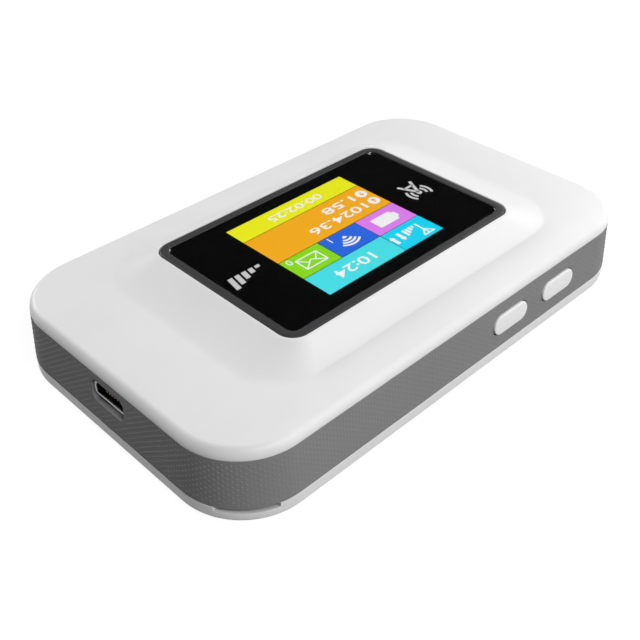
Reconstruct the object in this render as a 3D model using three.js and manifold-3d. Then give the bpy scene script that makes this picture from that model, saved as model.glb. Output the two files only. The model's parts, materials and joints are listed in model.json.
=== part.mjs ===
// A pocket mobile hotspot: a white shell with a colour display, a grey side band with two keys and
// a micro-USB socket, a clip-on back cover, and a removable battery under it.
// Millimetres. +Z is up, X runs along the length, the keys are on the -Y side and the socket is on
// the -X side. The origin is the middle of the underside.

import * as THREE from 'three';
import { mergeVertices } from 'three/addons/utils/BufferGeometryUtils.js';
import Module from 'manifold-3d';

const wasm = await Module();
wasm.setup();

// ---- Body outline ----
const BODY_LENGTH = 98.0;
const BODY_WIDTH = 59.3;
const CORNER_RADIUS = 12.1;
const BAND_DRAFT = 0.65; // the band's upper edge lies this far inside its lower edge
const CORNER_STEPS = 8;

// ---- Heights of the outer shell, from the underside up ----
const REAR_RIM_HEIGHT = 2.72;
const SEAM_OVER_BOARD = 0.8; // the upper seam lies this far above the circuit board
const SHOULDER_HEIGHT = 1.86;
const PLATEAU_RISE = 3.04;
const SHOULDER_INSET = 1.4; // width of the top shell's rounded rim
const CROWN_RISE = 0.45; // the shoulder climbs this much from its rim to the slope's foot
const CROWN_STEPS = 4;
const REAR_EDGE_RADIUS = 1.0;
const RAMP_LENGTH = 8.4; // width of the soft slope up to the display bezel, at the short sides
const RAMP_WIDTH = 5.0; // and at the long sides
const RAMP_CORNER = 9.0; // corner radius of the slope's foot
const RAMP_EASE = 1.3; // how softly the slope starts at its foot
const RAMP_LAND = 0.3; // flat rim of the plateau around the bezel
const RAMP_STEPS = 6;
const ROUND_STEPS = 6;

// ---- Walls and clearances ----
const BAND_WALL = 1.5;
const TOP_WALL = 1.06;
const TONGUE_WALL = 0.8;
const REAR_FLOOR = 1.2;
const REAR_WALL = 1.2;
const SEAM_GAP = 0.12;
const FIT_GAP = 0.1; // between fixed pieces that lie on or in each other
const RUN_GAP = 0.3; // between pieces that move past each other
const OVERCUT = 2; // how far a cutting body runs past what it cuts
const SKIM = 0.01; // the same, where the cut follows a drafted wall

// ---- Display ----
const BEZEL_LENGTH = 53.2;
const BEZEL_WIDTH = 34.1;
const BEZEL_CORNER = 3.0;
const BEZEL_RING = 1.53;
const BEZEL_DEPTH = 1.05;
const WINDOW_THICKNESS = 0.7;
const WINDOW_SINK = 0.12; // window face below the bezel's top
const TAPE_THICKNESS = 0.1;
const LAYER_GAP = 0.05; // between the thin layers of the display stack
const PICTURE_LENGTH = 27.6;
const PICTURE_WIDTH = 25.3;
const PICTURE_X = -0.15;
const PICTURE_Y = 0.45;
const PANEL_BORDER = 0.5;
const PANEL_THICKNESS = 0.9;
const DRIVER_LEDGE = 4.0; // the panel's driver strip, on its -X side
const BACKLIGHT_THICKNESS = 2.3;
const LEDGE_X = 1.5; // width of the cover's ledge under the window's short sides
const HOLDER_WALL = 0.8;
const HOLDER_LEDGE = 1.4;
const HOLDER_FLOOR = 0.6;
const HOLDER_LEG = 2.0;
const FLEX_WIDTH = 12.0;
const FLEX_THICKNESS = 0.15;
const FLEX_REACH = 2.6; // how far the flex's bend stands out past the backlight
const FLEX_TAIL = 6.0;
const FLEX_PLUG = [3.0, 14.0, 0.6];

// ---- Battery ----
const BATTERY_LENGTH = 66.0;
const BATTERY_WIDTH = 44.0;
const BATTERY_THICKNESS = 5.4;
const BATTERY_EDGE = 1.6;
const BATTERY_X = -3.0;
const BATTERY_Y = 1.5;
const BATTERY_CAP = 4.0;
const CAP_RECESS = 0.5;
const TERMINAL = [0.25, 2.2, 3.0];
const TERMINAL_PITCH = 3.6;
const TERMINAL_RISE = 0.5; // contacts above the battery's middle height
const TERMINAL_COUNT = 3;

// ---- Inner chassis ----
const CHASSIS_BASE = 2.3; // height of the chassis flange's underside
const FLANGE_THICKNESS = 1.2;
const FLANGE_INSET = 1.8;
const WELL_WALL = 1.2;
const WELL_ROOF = 1.0;
const THUMB_RADIUS = 7.0;
const THUMB_DEPTH = 3.4;
const THUMB_SIDES = 32;
const PINHOLE_RADIUS = 0.9;

// ---- Circuit board ----
const BOARD_GAP = 1.8; // between the chassis roof and the board, where the card holder sits
const BOARD_THICKNESS = 0.8;
const BOARD_INSET = 0.5;
const SHIELD_HEIGHT = 1.4;
const SHIELD_SKIN = 0.2;
const CHIP_HEIGHT = 0.8;
const PROCESSOR_CAN = { x: 30.5, y: 0, length: 17, width: 27 };
const RADIO_CAN = { x: -33.5, y: -7.5, length: 15, width: 22 };
const PROCESSOR_CHIP = { x: 29.5, y: -5.5, length: 12, width: 12 };
const MEMORY_CHIP = { x: 29.5, y: 7.5, length: 10, width: 8 };
const RADIO_CHIP = { x: -33.5, y: -11.5, length: 8, width: 8 };
const AMPLIFIER_CHIP = { x: -33.5, y: -2.0, length: 5, width: 4 };
const POWER_CHIP = { x: -33.5, y: 12.0, length: 7, width: 7 };

// ---- Keys and their switches ----
const KEY_LENGTH = 8.9;
const KEY_HEIGHT = 3.55;
const KEY_PROUD = 0.28;
const KEY_BELOW_SWITCH = 1.2; // a key's middle lies this far below its switch's
const KEY_CLEARANCE = 0.2;
const KEY_TRAVEL = 0.35;
const KEY_FLANGE = 0.8; // margin and thickness of the flange that keeps a key in
const KEYS = [
  { name: 'power', x: 11.4 },
  { name: 'function', x: 24.9 },
];
const PUSHER = [2.4, 0.7, 1.4];
const PLUNGER = [1.6, 1.3, 1.0];
const SWITCH = [4.7, 2.3, 3.0];
const RESET_SWITCH = 4.5;
const RESET_HEIGHT = 1.6;
const RESET_KEY_RADIUS = 1.0;
const RESET_KEY_LENGTH = 1.4;
const RESET_TRAVEL = 0.25;
const RESET_X = 41.0;
const RESET_Y = 11.0;

// ---- Micro-USB socket ----
const USB_WIDTH = 7.5;
const USB_HEIGHT = 2.5;
const USB_DEPTH = 5.2;
const USB_SKIN = 0.3;
const USB_CHAMFER = 0.75;
const USB_Y = -0.25;
const USB_SINK = 0.3; // socket's mouth behind the band's face
const USB_SILL = 0.8; // extra height of the band's opening under the socket
const USB_TONGUE = [3.6, 3.7, 0.6];
const USB_TONGUE_SETBACK = 1.0; // tongue's tip behind the socket's mouth
const USB_CONTACT = [3.0, 0.3, 0.1];
const USB_PITCH = 0.65;
const USB_CONTACTS = 5;

// ---- Battery connector ----
const CONNECTOR = [3.8, 12.0];
const CONNECTOR_BASE = 3.9; // height of its lower end
const SPRING = [0.9, 0.8, 1.6];
const SPRING_FOOT = 1.0; // length of a blade inside the connector

// ---- SIM holder ----
const SIM_X = -12.0;
const SIM_Y = 4.0;
const SIM_LENGTH = 15.0;
const SIM_WIDTH = 14.0;
const SIM_BASE_THICKNESS = 0.5;
const SIM_COVER_HEIGHT = 0.9;
const SIM_COVER_SKIN = 0.2;
const SIM_WINDOW_MARGIN = 2.0;

// ---- Antennas ----
const ANTENNA_HEIGHT = 5.0;
const ANTENNA_LIFT = 0.9; // above the chassis flange
const ANTENNA_FOIL = 0.15;
const ANTENNA_SLOT = 0.8;

// ---- Fastenings ----
const SCREW_LENGTH = 6.0;
const SCREW_RADIUS = 0.9;
const SCREW_HEAD_RADIUS = 1.7;
const SCREW_HEAD_HEIGHT = 0.9;
const SCREW_SLOT = 0.4;
const SCREW_GRIP = 1.4; // chassis under a screw's head
const BOSS_RADIUS = 2.4;
const BOSS_SHOULDER = 0.8; // step of a boss that holds the board down
const BOSS_INSET = 7.0; // from the outline's straight sides to a screw
const POST_RADIUS = 1.2;
const POST_SIDES = 12;
const POST_INSET = 9.0; // from the short sides to the posts under the board
const POST_Y = 15.5;
const PAD_HEIGHT = 2.6;
const CLIP_LENGTH = 5.0;
const CLIP_THICKNESS = 0.8;
const CLIP_RISE = 2.6;
const CLIP_INSET = 3.2;
const CLIP_BEAD = 0.3;
const CLIP_SPACING_X = 26.0;
const CLIP_SPACING_Y = 20.0;
const NOTCH_DEPTH = 0.65;
const NOTCH_HEIGHT = 0.95;
const NOTCH_START = 207; // degrees round the corner's arc where the notch starts
const NOTCH_END = 253;
const NOTCH_STEPS = 16;

// ---- Heights worked out from the sizes above ----
const LOWER_SEAM = REAR_RIM_HEIGHT;
const BATTERY_BASE = REAR_FLOOR + RUN_GAP;
const BATTERY_TOP = BATTERY_BASE + BATTERY_THICKNESS;
const ROOF_BASE = BATTERY_TOP + RUN_GAP;
const ROOF_TOP = ROOF_BASE + WELL_ROOF;
const FLANGE_TOP = CHASSIS_BASE + FLANGE_THICKNESS;
const PAD_TOP = CHASSIS_BASE + PAD_HEIGHT;
const SCREW_SEAT = PAD_TOP - SCREW_GRIP;
const BOSS_BASE = PAD_TOP + FIT_GAP;
const ANTENNA_BASE = FLANGE_TOP + ANTENNA_LIFT;
const BOARD_BASE = ROOF_TOP + BOARD_GAP;
const BOARD_TOP = BOARD_BASE + BOARD_THICKNESS;
const SWITCH_Z = BOARD_BASE - FIT_GAP - SWITCH[2] / 2;
const KEY_Z = SWITCH_Z - KEY_BELOW_SWITCH;
const USB_TOP = BOARD_BASE - FIT_GAP;
const USB_BASE = USB_TOP - USB_HEIGHT;
const TONGUE_BASE = BOARD_TOP + FIT_GAP;
const UPPER_SEAM = BOARD_TOP + SEAM_OVER_BOARD;
const SHOULDER_Z = UPPER_SEAM + SHOULDER_HEIGHT;
const CEILING_Z = SHOULDER_Z - TOP_WALL;
const BEZEL_TOP = SHOULDER_Z + PLATEAU_RISE;
const WINDOW_TOP = BEZEL_TOP - WINDOW_SINK;
const WINDOW_BASE = WINDOW_TOP - WINDOW_THICKNESS;
const TAPE_BASE = WINDOW_BASE - LAYER_GAP - TAPE_THICKNESS;
const LEDGE_TOP = Math.min(TAPE_BASE - LAYER_GAP, BEZEL_TOP - BEZEL_DEPTH - LAYER_GAP);
const PANEL_TOP = WINDOW_BASE - LAYER_GAP;
const PANEL_BASE = PANEL_TOP - PANEL_THICKNESS;
const BACKLIGHT_TOP = PANEL_BASE - LAYER_GAP;
const BACKLIGHT_BASE = BACKLIGHT_TOP - BACKLIGHT_THICKNESS;
const HOLDER_TOP = CEILING_Z - FIT_GAP;

// ---- Finishes ----
const finishes = {
  white: { color: 0xecebee, roughness: 0.5, metalness: 0 },
  key: { color: 0xe8e8ea, roughness: 0.45, metalness: 0 },
  grey: { color: 0x7b7b7d, roughness: 0.7, metalness: 0 },
  bezel: { color: 0x404043, roughness: 0.5, metalness: 0 },
  glass: { color: 0x0b0b0d, roughness: 0.08, metalness: 0 },
  picture: { color: 0x46dce4, roughness: 0.3, metalness: 0 },
  chassis: { color: 0x2b2b2e, roughness: 0.6, metalness: 0 },
  board: { color: 0x1d5a34, roughness: 0.5, metalness: 0 },
  chip: { color: 0x1a1a1c, roughness: 0.5, metalness: 0 },
  steel: { color: 0xc4c6c8, roughness: 0.35, metalness: 0.9 },
  gold: { color: 0xd8b05a, roughness: 0.3, metalness: 0.9 },
  foil: { color: 0xb87b4a, roughness: 0.45, metalness: 0.6 },
  wrap: { color: 0x3a3d42, roughness: 0.5, metalness: 0 },
};

const hotspot = new THREE.Group();

// ---- Solids ----

function toSolid(geometry) {
  const bare = geometry.index ? geometry.toNonIndexed() : geometry.clone();
  bare.deleteAttribute('normal');
  bare.deleteAttribute('uv');
  const merged = mergeVertices(bare, 1e-5);
  const vertProperties = new Float32Array(merged.attributes.position.array);
  const triVerts = new Uint32Array(merged.index.array);
  return new wasm.Manifold(new wasm.Mesh({ numProp: 3, vertProperties, triVerts }));
}

function toGeometry(solid) {
  const mesh = solid.getMesh();
  const geometry = new THREE.BufferGeometry();
  geometry.setAttribute('position', new THREE.BufferAttribute(mesh.vertProperties, 3));
  geometry.setIndex(new THREE.BufferAttribute(mesh.triVerts, 1));
  geometry.computeVertexNormals();
  return geometry;
}

function addPiece(name, solid, finish, place = [0, 0, 0]) {
  const mesh = new THREE.Mesh(toGeometry(solid), new THREE.MeshStandardMaterial(finishes[finish]));
  mesh.name = name;
  mesh.position.set(...place);
  hotspot.add(mesh);
  return mesh;
}

function block(x0, x1, y0, y1, z0, z1) {
  const geometry = new THREE.BoxGeometry(x1 - x0, y1 - y0, z1 - z0);
  geometry.translate((x0 + x1) / 2, (y0 + y1) / 2, (z0 + z1) / 2);
  return toSolid(geometry);
}

// A block given by the middle of its plan, its plan size and its lower and upper height.
function pad(x, y, length, width, z0, z1) {
  return block(x - length / 2, x + length / 2, y - width / 2, y + width / 2, z0, z1);
}

function pin(x, y, radius, z0, z1, sides = 20) {
  const geometry = new THREE.CylinderGeometry(radius, radius, z1 - z0, sides);
  geometry.rotateX(Math.PI / 2);
  geometry.translate(x, y, (z0 + z1) / 2);
  return toSolid(geometry);
}

// A rounded rectangle of half sizes hx and hy, counter-clockwise, always with the same point count.
function roundedRing(hx, hy, radius) {
  const r = Math.max(0.01, Math.min(radius, hx, hy));
  const points = [];
  for (let corner = 0; corner < 4; corner += 1) {
    const sx = corner === 0 || corner === 3 ? 1 : -1;
    const sy = corner < 2 ? 1 : -1;
    for (let step = 0; step <= CORNER_STEPS; step += 1) {
      const angle = (corner + step / CORNER_STEPS) * Math.PI / 2;
      points.push([sx * (hx - r) + r * Math.cos(angle), sy * (hy - r) + r * Math.sin(angle)]);
    }
  }
  return points;
}

// A closed solid through rounded rectangles stacked from the bottom up.
function loft(sections) {
  const rings = sections.map((s) => roundedRing(s.hx, s.hy, s.r));
  const count = rings[0].length;
  const positions = [];
  rings.forEach((ring, level) => ring.forEach(([x, y]) => positions.push(x, y, sections[level].z)));
  const faces = [];
  for (let level = 0; level + 1 < rings.length; level += 1) {
    for (let i = 0; i < count; i += 1) {
      const a = level * count + i;
      const b = level * count + (i + 1) % count;
      faces.push(a, b, b + count, a, b + count, a + count);
    }
  }
  const top = (rings.length - 1) * count;
  for (let i = 1; i + 1 < count; i += 1) {
    faces.push(0, i + 1, i);
    faces.push(top, top + i, top + i + 1);
  }
  const geometry = new THREE.BufferGeometry();
  geometry.setAttribute('position', new THREE.Float32BufferAttribute(positions, 3));
  geometry.setIndex(faces);
  return toSolid(geometry);
}

function roundedPlate(length, width, radius, z0, z1) {
  const section = (z) => ({ hx: length / 2, hy: width / 2, r: radius, z });
  return loft([section(z0), section(z1)]);
}

// The outline of the body at a height, moved in by an inset. The band's draft runs on above it.
function bodySection(z, inset) {
  const rise = THREE.MathUtils.clamp((z - LOWER_SEAM) / (UPPER_SEAM - LOWER_SEAM), 0, 1);
  const total = inset + BAND_DRAFT * rise;
  return { hx: BODY_LENGTH / 2 - total, hy: BODY_WIDTH / 2 - total, r: CORNER_RADIUS - total, z };
}

// The outline around the display bezel, moved out by a distance.
function bezelSection(z, out) {
  return { hx: BEZEL_LENGTH / 2 + out, hy: BEZEL_WIDTH / 2 + out, r: BEZEL_CORNER + out, z };
}

// A solid between two heights that follows the drafted side, at an inset from it.
function bodyCore(z0, z1, inset) {
  return loft([bodySection(z0, inset), bodySection(z1, inset)]);
}

// A wall that follows the drafted side, from one inset to a deeper one.
function bodyWall(z0, z1, outer, inner) {
  const cutter = loft([bodySection(z0, inner), bodySection(z1, inner)]
    .map((s, i) => ({ ...s, z: s.z + (i === 0 ? -SKIM : SKIM) })));
  return bodyCore(z0, z1, outer).subtract(cutter);
}

function bandFaceX(z) {
  return bodySection(z, 0).hx;
}

function bandFaceY(z) {
  return bodySection(z, 0).hy;
}

// Places mirrored into the four quarters of the plan.
function fourCorners(x, y) {
  return [[x, y], [-x, y], [-x, -y], [x, -y]];
}

// Each screw stands on the corner's diagonal.
const SCREW_PLACES = fourCorners(BODY_LENGTH / 2 - BOSS_INSET, BODY_WIDTH / 2 - BOSS_INSET);

// ---- Top cover ----

function shoulderSections() {
  const sections = [];
  for (let step = 0; step <= ROUND_STEPS; step += 1) {
    const angle = step / ROUND_STEPS * Math.PI / 2;
    const inset = SHOULDER_INSET * (1 - Math.cos(angle));
    const base = bodySection(UPPER_SEAM, inset);
    sections.push({ ...base, z: UPPER_SEAM + SEAM_GAP + (SHOULDER_HEIGHT - SEAM_GAP) * Math.sin(angle) });
  }
  return sections;
}

// The outline part of the way from one outline to another.
function between(from, to, share, z) {
  const { lerp } = THREE.MathUtils;
  return { hx: lerp(from.hx, to.hx, share), hy: lerp(from.hy, to.hy, share),
    r: lerp(from.r, to.r, share), z };
}

// The crowned shoulder from the rounded rim to the slope's foot, then the slope up to the bezel.
function rampSections() {
  const rim = bodySection(UPPER_SEAM, SHOULDER_INSET);
  const plateau = bezelSection(BEZEL_TOP, FIT_GAP + RAMP_LAND);
  const foot = { hx: plateau.hx + RAMP_LENGTH, hy: plateau.hy + RAMP_WIDTH, r: RAMP_CORNER };
  const sections = [];
  for (let step = 1; step < CROWN_STEPS; step += 1) {
    const t = step / CROWN_STEPS;
    sections.push(between(rim, foot, t, SHOULDER_Z + CROWN_RISE * t * (2 - t)));
  }
  for (let step = 0; step <= RAMP_STEPS; step += 1) {
    const t = step / RAMP_STEPS;
    const climb = (PLATEAU_RISE - CROWN_RISE - LAYER_GAP) * t ** RAMP_EASE;
    sections.push(between(foot, plateau, t, SHOULDER_Z + CROWN_RISE + climb));
  }
  return sections;
}

function makeTopCover() {
  const tongueInset = BAND_WALL + FIT_GAP;
  const innerInset = tongueInset + TONGUE_WALL;
  const outer = loft([...shoulderSections(), ...rampSections()]);
  const tongue = bodyWall(TONGUE_BASE, UPPER_SEAM + TOP_WALL, tongueInset, innerInset);
  const hollow = bodyCore(UPPER_SEAM - OVERCUT, CEILING_Z, innerInset);
  const pocket = loft([bezelSection(LEDGE_TOP, FIT_GAP), bezelSection(BEZEL_TOP + OVERCUT, FIT_GAP)]);
  let cover = outer.subtract(hollow).add(tongue);
  for (const [x, y] of SCREW_PLACES) {
    cover = cover.add(pin(x, y, BOSS_RADIUS, BOSS_BASE, CEILING_Z + TOP_WALL / 2));
    const shoulder = pin(x, y, BOSS_RADIUS + BOSS_SHOULDER, TONGUE_BASE, CEILING_Z + TOP_WALL / 2);
    cover = cover.add(shoulder.intersect(bodyCore(TONGUE_BASE, UPPER_SEAM + TOP_WALL, tongueInset)));
    const hole = pin(x, y, SCREW_RADIUS + FIT_GAP, BOSS_BASE - OVERCUT, PAD_TOP + SCREW_LENGTH);
    cover = cover.subtract(hole);
  }
  return cover.subtract(pocket).subtract(makeDisplayOpening());
}

// The hole through the cover for the display panel and its backlight.
function makeDisplayOpening() {
  const halfX = BEZEL_LENGTH / 2 - BEZEL_RING - FIT_GAP - LEDGE_X;
  const y = PANEL.y;
  const halfY = PANEL.width / 2 + FIT_GAP;
  return block(-halfX, halfX, y - halfY, y + halfY, CEILING_Z - OVERCUT, LEDGE_TOP + OVERCUT);
}

// ---- Display ----

const PANEL = {
  x: PICTURE_X - DRIVER_LEDGE / 2,
  y: PICTURE_Y,
  length: PICTURE_LENGTH + 2 * PANEL_BORDER + DRIVER_LEDGE,
  width: PICTURE_WIDTH + 2 * PANEL_BORDER,
};

function makeBezel() {
  const outer = roundedPlate(BEZEL_LENGTH, BEZEL_WIDTH, BEZEL_CORNER, LEDGE_TOP + LAYER_GAP, BEZEL_TOP);
  const innerLength = BEZEL_LENGTH - 2 * BEZEL_RING;
  const innerWidth = BEZEL_WIDTH - 2 * BEZEL_RING;
  const innerCorner = BEZEL_CORNER - BEZEL_RING;
  return outer.subtract(
    roundedPlate(innerLength, innerWidth, innerCorner, LEDGE_TOP - OVERCUT, BEZEL_TOP + OVERCUT),
  );
}

const WINDOW = {
  length: BEZEL_LENGTH - 2 * BEZEL_RING - 2 * FIT_GAP,
  width: BEZEL_WIDTH - 2 * BEZEL_RING - 2 * FIT_GAP,
  corner: BEZEL_CORNER - BEZEL_RING - FIT_GAP,
};

function makeTape() {
  const outer = roundedPlate(WINDOW.length, WINDOW.width, WINDOW.corner,
    TAPE_BASE, TAPE_BASE + TAPE_THICKNESS);
  return outer.subtract(makeDisplayOpening());
}

function makeLcdHolder() {
  const halfX = PANEL.length / 2 + FIT_GAP;
  const halfY = PANEL.width / 2 + FIT_GAP;
  const rimBase = BACKLIGHT_BASE - LAYER_GAP - HOLDER_FLOOR;
  const ring = (out, z0, z1) => block(
    PANEL.x - halfX - out, PANEL.x + halfX + out, PANEL.y - halfY - out, PANEL.y + halfY + out, z0, z1,
  );
  let holder = ring(HOLDER_WALL, rimBase, HOLDER_TOP)
    .subtract(ring(0, BACKLIGHT_BASE - LAYER_GAP, HOLDER_TOP + OVERCUT))
    .subtract(ring(-HOLDER_LEDGE, rimBase - OVERCUT, HOLDER_TOP));
  const legX = halfX + HOLDER_WALL - FIT_GAP - HOLDER_LEG / 2;
  const legY = halfY + HOLDER_WALL - FIT_GAP - HOLDER_LEG / 2;
  for (const [x, y] of fourCorners(legX, legY)) {
    const leg = pad(PANEL.x + x, PANEL.y + y, HOLDER_LEG, HOLDER_LEG,
      BOARD_TOP + LAYER_GAP, rimBase + HOLDER_FLOOR / 2);
    holder = holder.add(leg);
  }
  return holder;
}

// A ribbon of even thickness through plan points (x, z), as wide as the flex along Y.
function ribbon(path, y) {
  const shape = new THREE.Shape();
  const half = FLEX_THICKNESS / 2;
  const normals = path.map((_, i) => {
    const before = path[Math.max(0, i - 1)];
    const after = path[Math.min(path.length - 1, i + 1)];
    return new THREE.Vector2(before.y - after.y, after.x - before.x).normalize();
  });
  path.forEach((p, i) => {
    const edge = p.clone().addScaledVector(normals[i], half);
    if (i === 0) shape.moveTo(edge.x, edge.y);
    else shape.lineTo(edge.x, edge.y);
  });
  for (let i = path.length - 1; i >= 0; i -= 1) {
    const edge = path[i].clone().addScaledVector(normals[i], -half);
    shape.lineTo(edge.x, edge.y);
  }
  const geometry = new THREE.ExtrudeGeometry(shape, { depth: FLEX_WIDTH, bevelEnabled: false });
  geometry.rotateX(Math.PI / 2);
  geometry.translate(0, y + FLEX_WIDTH / 2, 0);
  return toSolid(geometry);
}

const FLEX = {
  top: HOLDER_TOP + RUN_GAP,
  bottom: BOARD_TOP + FLEX_THICKNESS,
  edge: PANEL.x - PANEL.length / 2,
};

// The flex leaves the backlight's driver side over the holder's wall, bends down and runs back in
// to its plug on the board, between the holder's legs.
function makeFlex() {
  const radius = (FLEX.top - FLEX.bottom) / 2;
  const middle = (FLEX.top + FLEX.bottom) / 2;
  const bendX = FLEX.edge - FLEX_REACH + radius;
  const path = [new THREE.Vector2(FLEX.edge - FIT_GAP, FLEX.top)];
  const steps = 8;
  for (let step = 0; step <= steps; step += 1) {
    const angle = Math.PI / 2 + step / steps * Math.PI;
    path.push(new THREE.Vector2(bendX + radius * Math.cos(angle), middle + radius * Math.sin(angle)));
  }
  path.push(new THREE.Vector2(bendX + FLEX_TAIL, FLEX.bottom));
  return ribbon(path, PANEL.y);
}

function addDisplay() {
  addPiece('display_bezel', makeBezel(), 'bezel');
  const window = roundedPlate(WINDOW.length, WINDOW.width, WINDOW.corner, WINDOW_BASE, WINDOW_TOP);
  addPiece('display_window', window, 'glass');
  addPiece('window_tape', makeTape(), 'chip');
  const { x, y, length, width } = PANEL;
  addPiece('lcd_panel', pad(x, y, length, width, PANEL_BASE, PANEL_TOP), 'picture');
  addPiece('lcd_backlight', pad(x, y, length, width, BACKLIGHT_BASE, BACKLIGHT_TOP), 'white');
  addPiece('lcd_holder', makeLcdHolder(), 'chassis');
  addPiece('lcd_flex', makeFlex(), 'foil');
  const plugX = FLEX.edge - FLEX_REACH + (FLEX.top - FLEX.bottom) / 2 + FLEX_TAIL;
  const [plugLength, plugWidth, plugHeight] = FLEX_PLUG;
  const plug = pad(plugX + plugLength / 2 + FIT_GAP, y, plugLength, plugWidth,
    BOARD_TOP + LAYER_GAP, BOARD_TOP + LAYER_GAP + plugHeight);
  addPiece('lcd_flex_plug', plug, 'chip');
}

// ---- Side band ----

function stadium(length, height) {
  const r = height / 2;
  const run = length / 2 - r;
  const shape = new THREE.Shape();
  shape.absarc(run, 0, r, -Math.PI / 2, Math.PI / 2, false);
  shape.absarc(-run, 0, r, Math.PI / 2, 3 * Math.PI / 2, false);
  return shape;
}

// A stadium standing on the XZ plane, run along Y from y0 to y1.
function stadiumBar(x, z, length, height, y0, y1) {
  const geometry = new THREE.ExtrudeGeometry(stadium(length, height), {
    depth: y1 - y0, bevelEnabled: false, curveSegments: 8,
  });
  geometry.rotateX(Math.PI / 2);
  geometry.translate(x, y1, z);
  return toSolid(geometry);
}

function makeSideBand() {
  let band = bodyWall(LOWER_SEAM, UPPER_SEAM, 0, BAND_WALL);
  for (const { x } of KEYS) {
    const length = KEY_LENGTH + 2 * KEY_CLEARANCE;
    const height = KEY_HEIGHT + 2 * KEY_CLEARANCE;
    const y = bandFaceY(KEY_Z);
    band = band.subtract(stadiumBar(x, KEY_Z, length, height, -y - OVERCUT, -y + 2 * BAND_WALL));
  }
  const faceX = -bandFaceX(USB_BASE);
  const opening = usbProfileBar(RUN_GAP, USB_SILL, faceX - OVERCUT, faceX + 2 * BAND_WALL);
  return band.subtract(opening);
}

// ---- Keys ----

function makeKey(x) {
  const face = bandFaceY(KEY_Z);
  const inner = face - BAND_WALL - RUN_GAP;
  const pill = stadiumBar(x, KEY_Z, KEY_LENGTH, KEY_HEIGHT, -face - OVERCUT, -inner + KEY_FLANGE / 2);
  const skin = bodyCore(LOWER_SEAM, UPPER_SEAM, -KEY_PROUD);
  const flangeLength = KEY_LENGTH + 2 * KEY_FLANGE;
  const flangeHeight = KEY_HEIGHT + 2 * KEY_FLANGE;
  const flange = stadiumBar(x, KEY_Z, flangeLength, flangeHeight, -inner, -inner + KEY_FLANGE);
  const pusherY = -inner + KEY_FLANGE;
  const [pusherLength, pusherDepth, pusherHeight] = PUSHER;
  const pusher = block(x - pusherLength / 2, x + pusherLength / 2,
    pusherY - KEY_FLANGE / 2, pusherY + pusherDepth,
    SWITCH_Z - pusherHeight / 2, SWITCH_Z + pusherHeight / 2);
  return pill.intersect(skin).add(flange).add(pusher);
}

const PLUNGER_TIP = -(bandFaceY(KEY_Z) - BAND_WALL - RUN_GAP) + KEY_FLANGE + PUSHER[1] + RUN_GAP;
const SWITCH_FRONT = PLUNGER_TIP + KEY_TRAVEL + RUN_GAP;

function makePlunger(x) {
  const [length, depth, height] = PLUNGER;
  return block(x - length / 2, x + length / 2, PLUNGER_TIP, PLUNGER_TIP + depth,
    SWITCH_Z - height / 2, SWITCH_Z + height / 2);
}

function makeSwitch(x) {
  const [length, depth, height] = SWITCH;
  const body = block(x - length / 2, x + length / 2, SWITCH_FRONT, SWITCH_FRONT + depth,
    SWITCH_Z - height / 2, SWITCH_Z + height / 2);
  const slot = block(x - PLUNGER[0] / 2 - RUN_GAP, x + PLUNGER[0] / 2 + RUN_GAP,
    SWITCH_FRONT - OVERCUT, PLUNGER_TIP + PLUNGER[1] + KEY_TRAVEL + RUN_GAP,
    SWITCH_Z - PLUNGER[2] / 2 - RUN_GAP, SWITCH_Z + PLUNGER[2] / 2 + RUN_GAP);
  return body.subtract(slot);
}

function addKeys() {
  for (const { name, x } of KEYS) {
    addPiece(`${name}_key`, makeKey(x), 'key');
    addPiece(`${name}_plunger`, makePlunger(x), 'chip');
    addPiece(`${name}_switch`, makeSwitch(x), 'steel');
  }
}

// ---- Reset switch ----

function addResetSwitch() {
  const top = BOARD_BASE - FIT_GAP;
  const base = top - RESET_HEIGHT;
  const keyBase = base - RESET_KEY_LENGTH / 2;
  const keyTop = keyBase + RESET_KEY_LENGTH;
  const well = pin(RESET_X, RESET_Y, RESET_KEY_RADIUS + FIT_GAP, base - OVERCUT,
    keyTop + RESET_TRAVEL + FIT_GAP);
  const body = pad(RESET_X, RESET_Y, RESET_SWITCH, RESET_SWITCH, base, top);
  addPiece('reset_switch', body.subtract(well), 'steel');
  addPiece('reset_key', pin(RESET_X, RESET_Y, RESET_KEY_RADIUS, keyBase, keyTop), 'chip');
}

// ---- Micro-USB socket ----

// The socket's outline, grown by a margin, with the two upper corners cut off.
function usbShape(margin, sill) {
  const half = USB_WIDTH / 2 + margin;
  const low = -USB_HEIGHT / 2 - margin - sill;
  const high = USB_HEIGHT / 2 + margin;
  const lowCut = sill > 0 ? sill : USB_SKIN / 2;
  const shape = new THREE.Shape();
  shape.moveTo(-half + lowCut, low);
  shape.lineTo(half - lowCut, low);
  shape.lineTo(half, low + lowCut);
  shape.lineTo(half, high - USB_CHAMFER);
  shape.lineTo(half - USB_CHAMFER, high);
  shape.lineTo(-half + USB_CHAMFER, high);
  shape.lineTo(-half, high - USB_CHAMFER);
  shape.lineTo(-half, low + lowCut);
  return shape;
}

// The socket's outline run along X from x0 to x1.
function usbProfileBar(margin, sill, x0, x1) {
  const geometry = new THREE.ExtrudeGeometry(usbShape(margin, sill), {
    depth: x1 - x0, bevelEnabled: false,
  });
  geometry.rotateX(Math.PI / 2);
  geometry.rotateZ(Math.PI / 2);
  geometry.translate(x0, USB_Y, (USB_BASE + USB_TOP) / 2);
  return toSolid(geometry);
}

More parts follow.
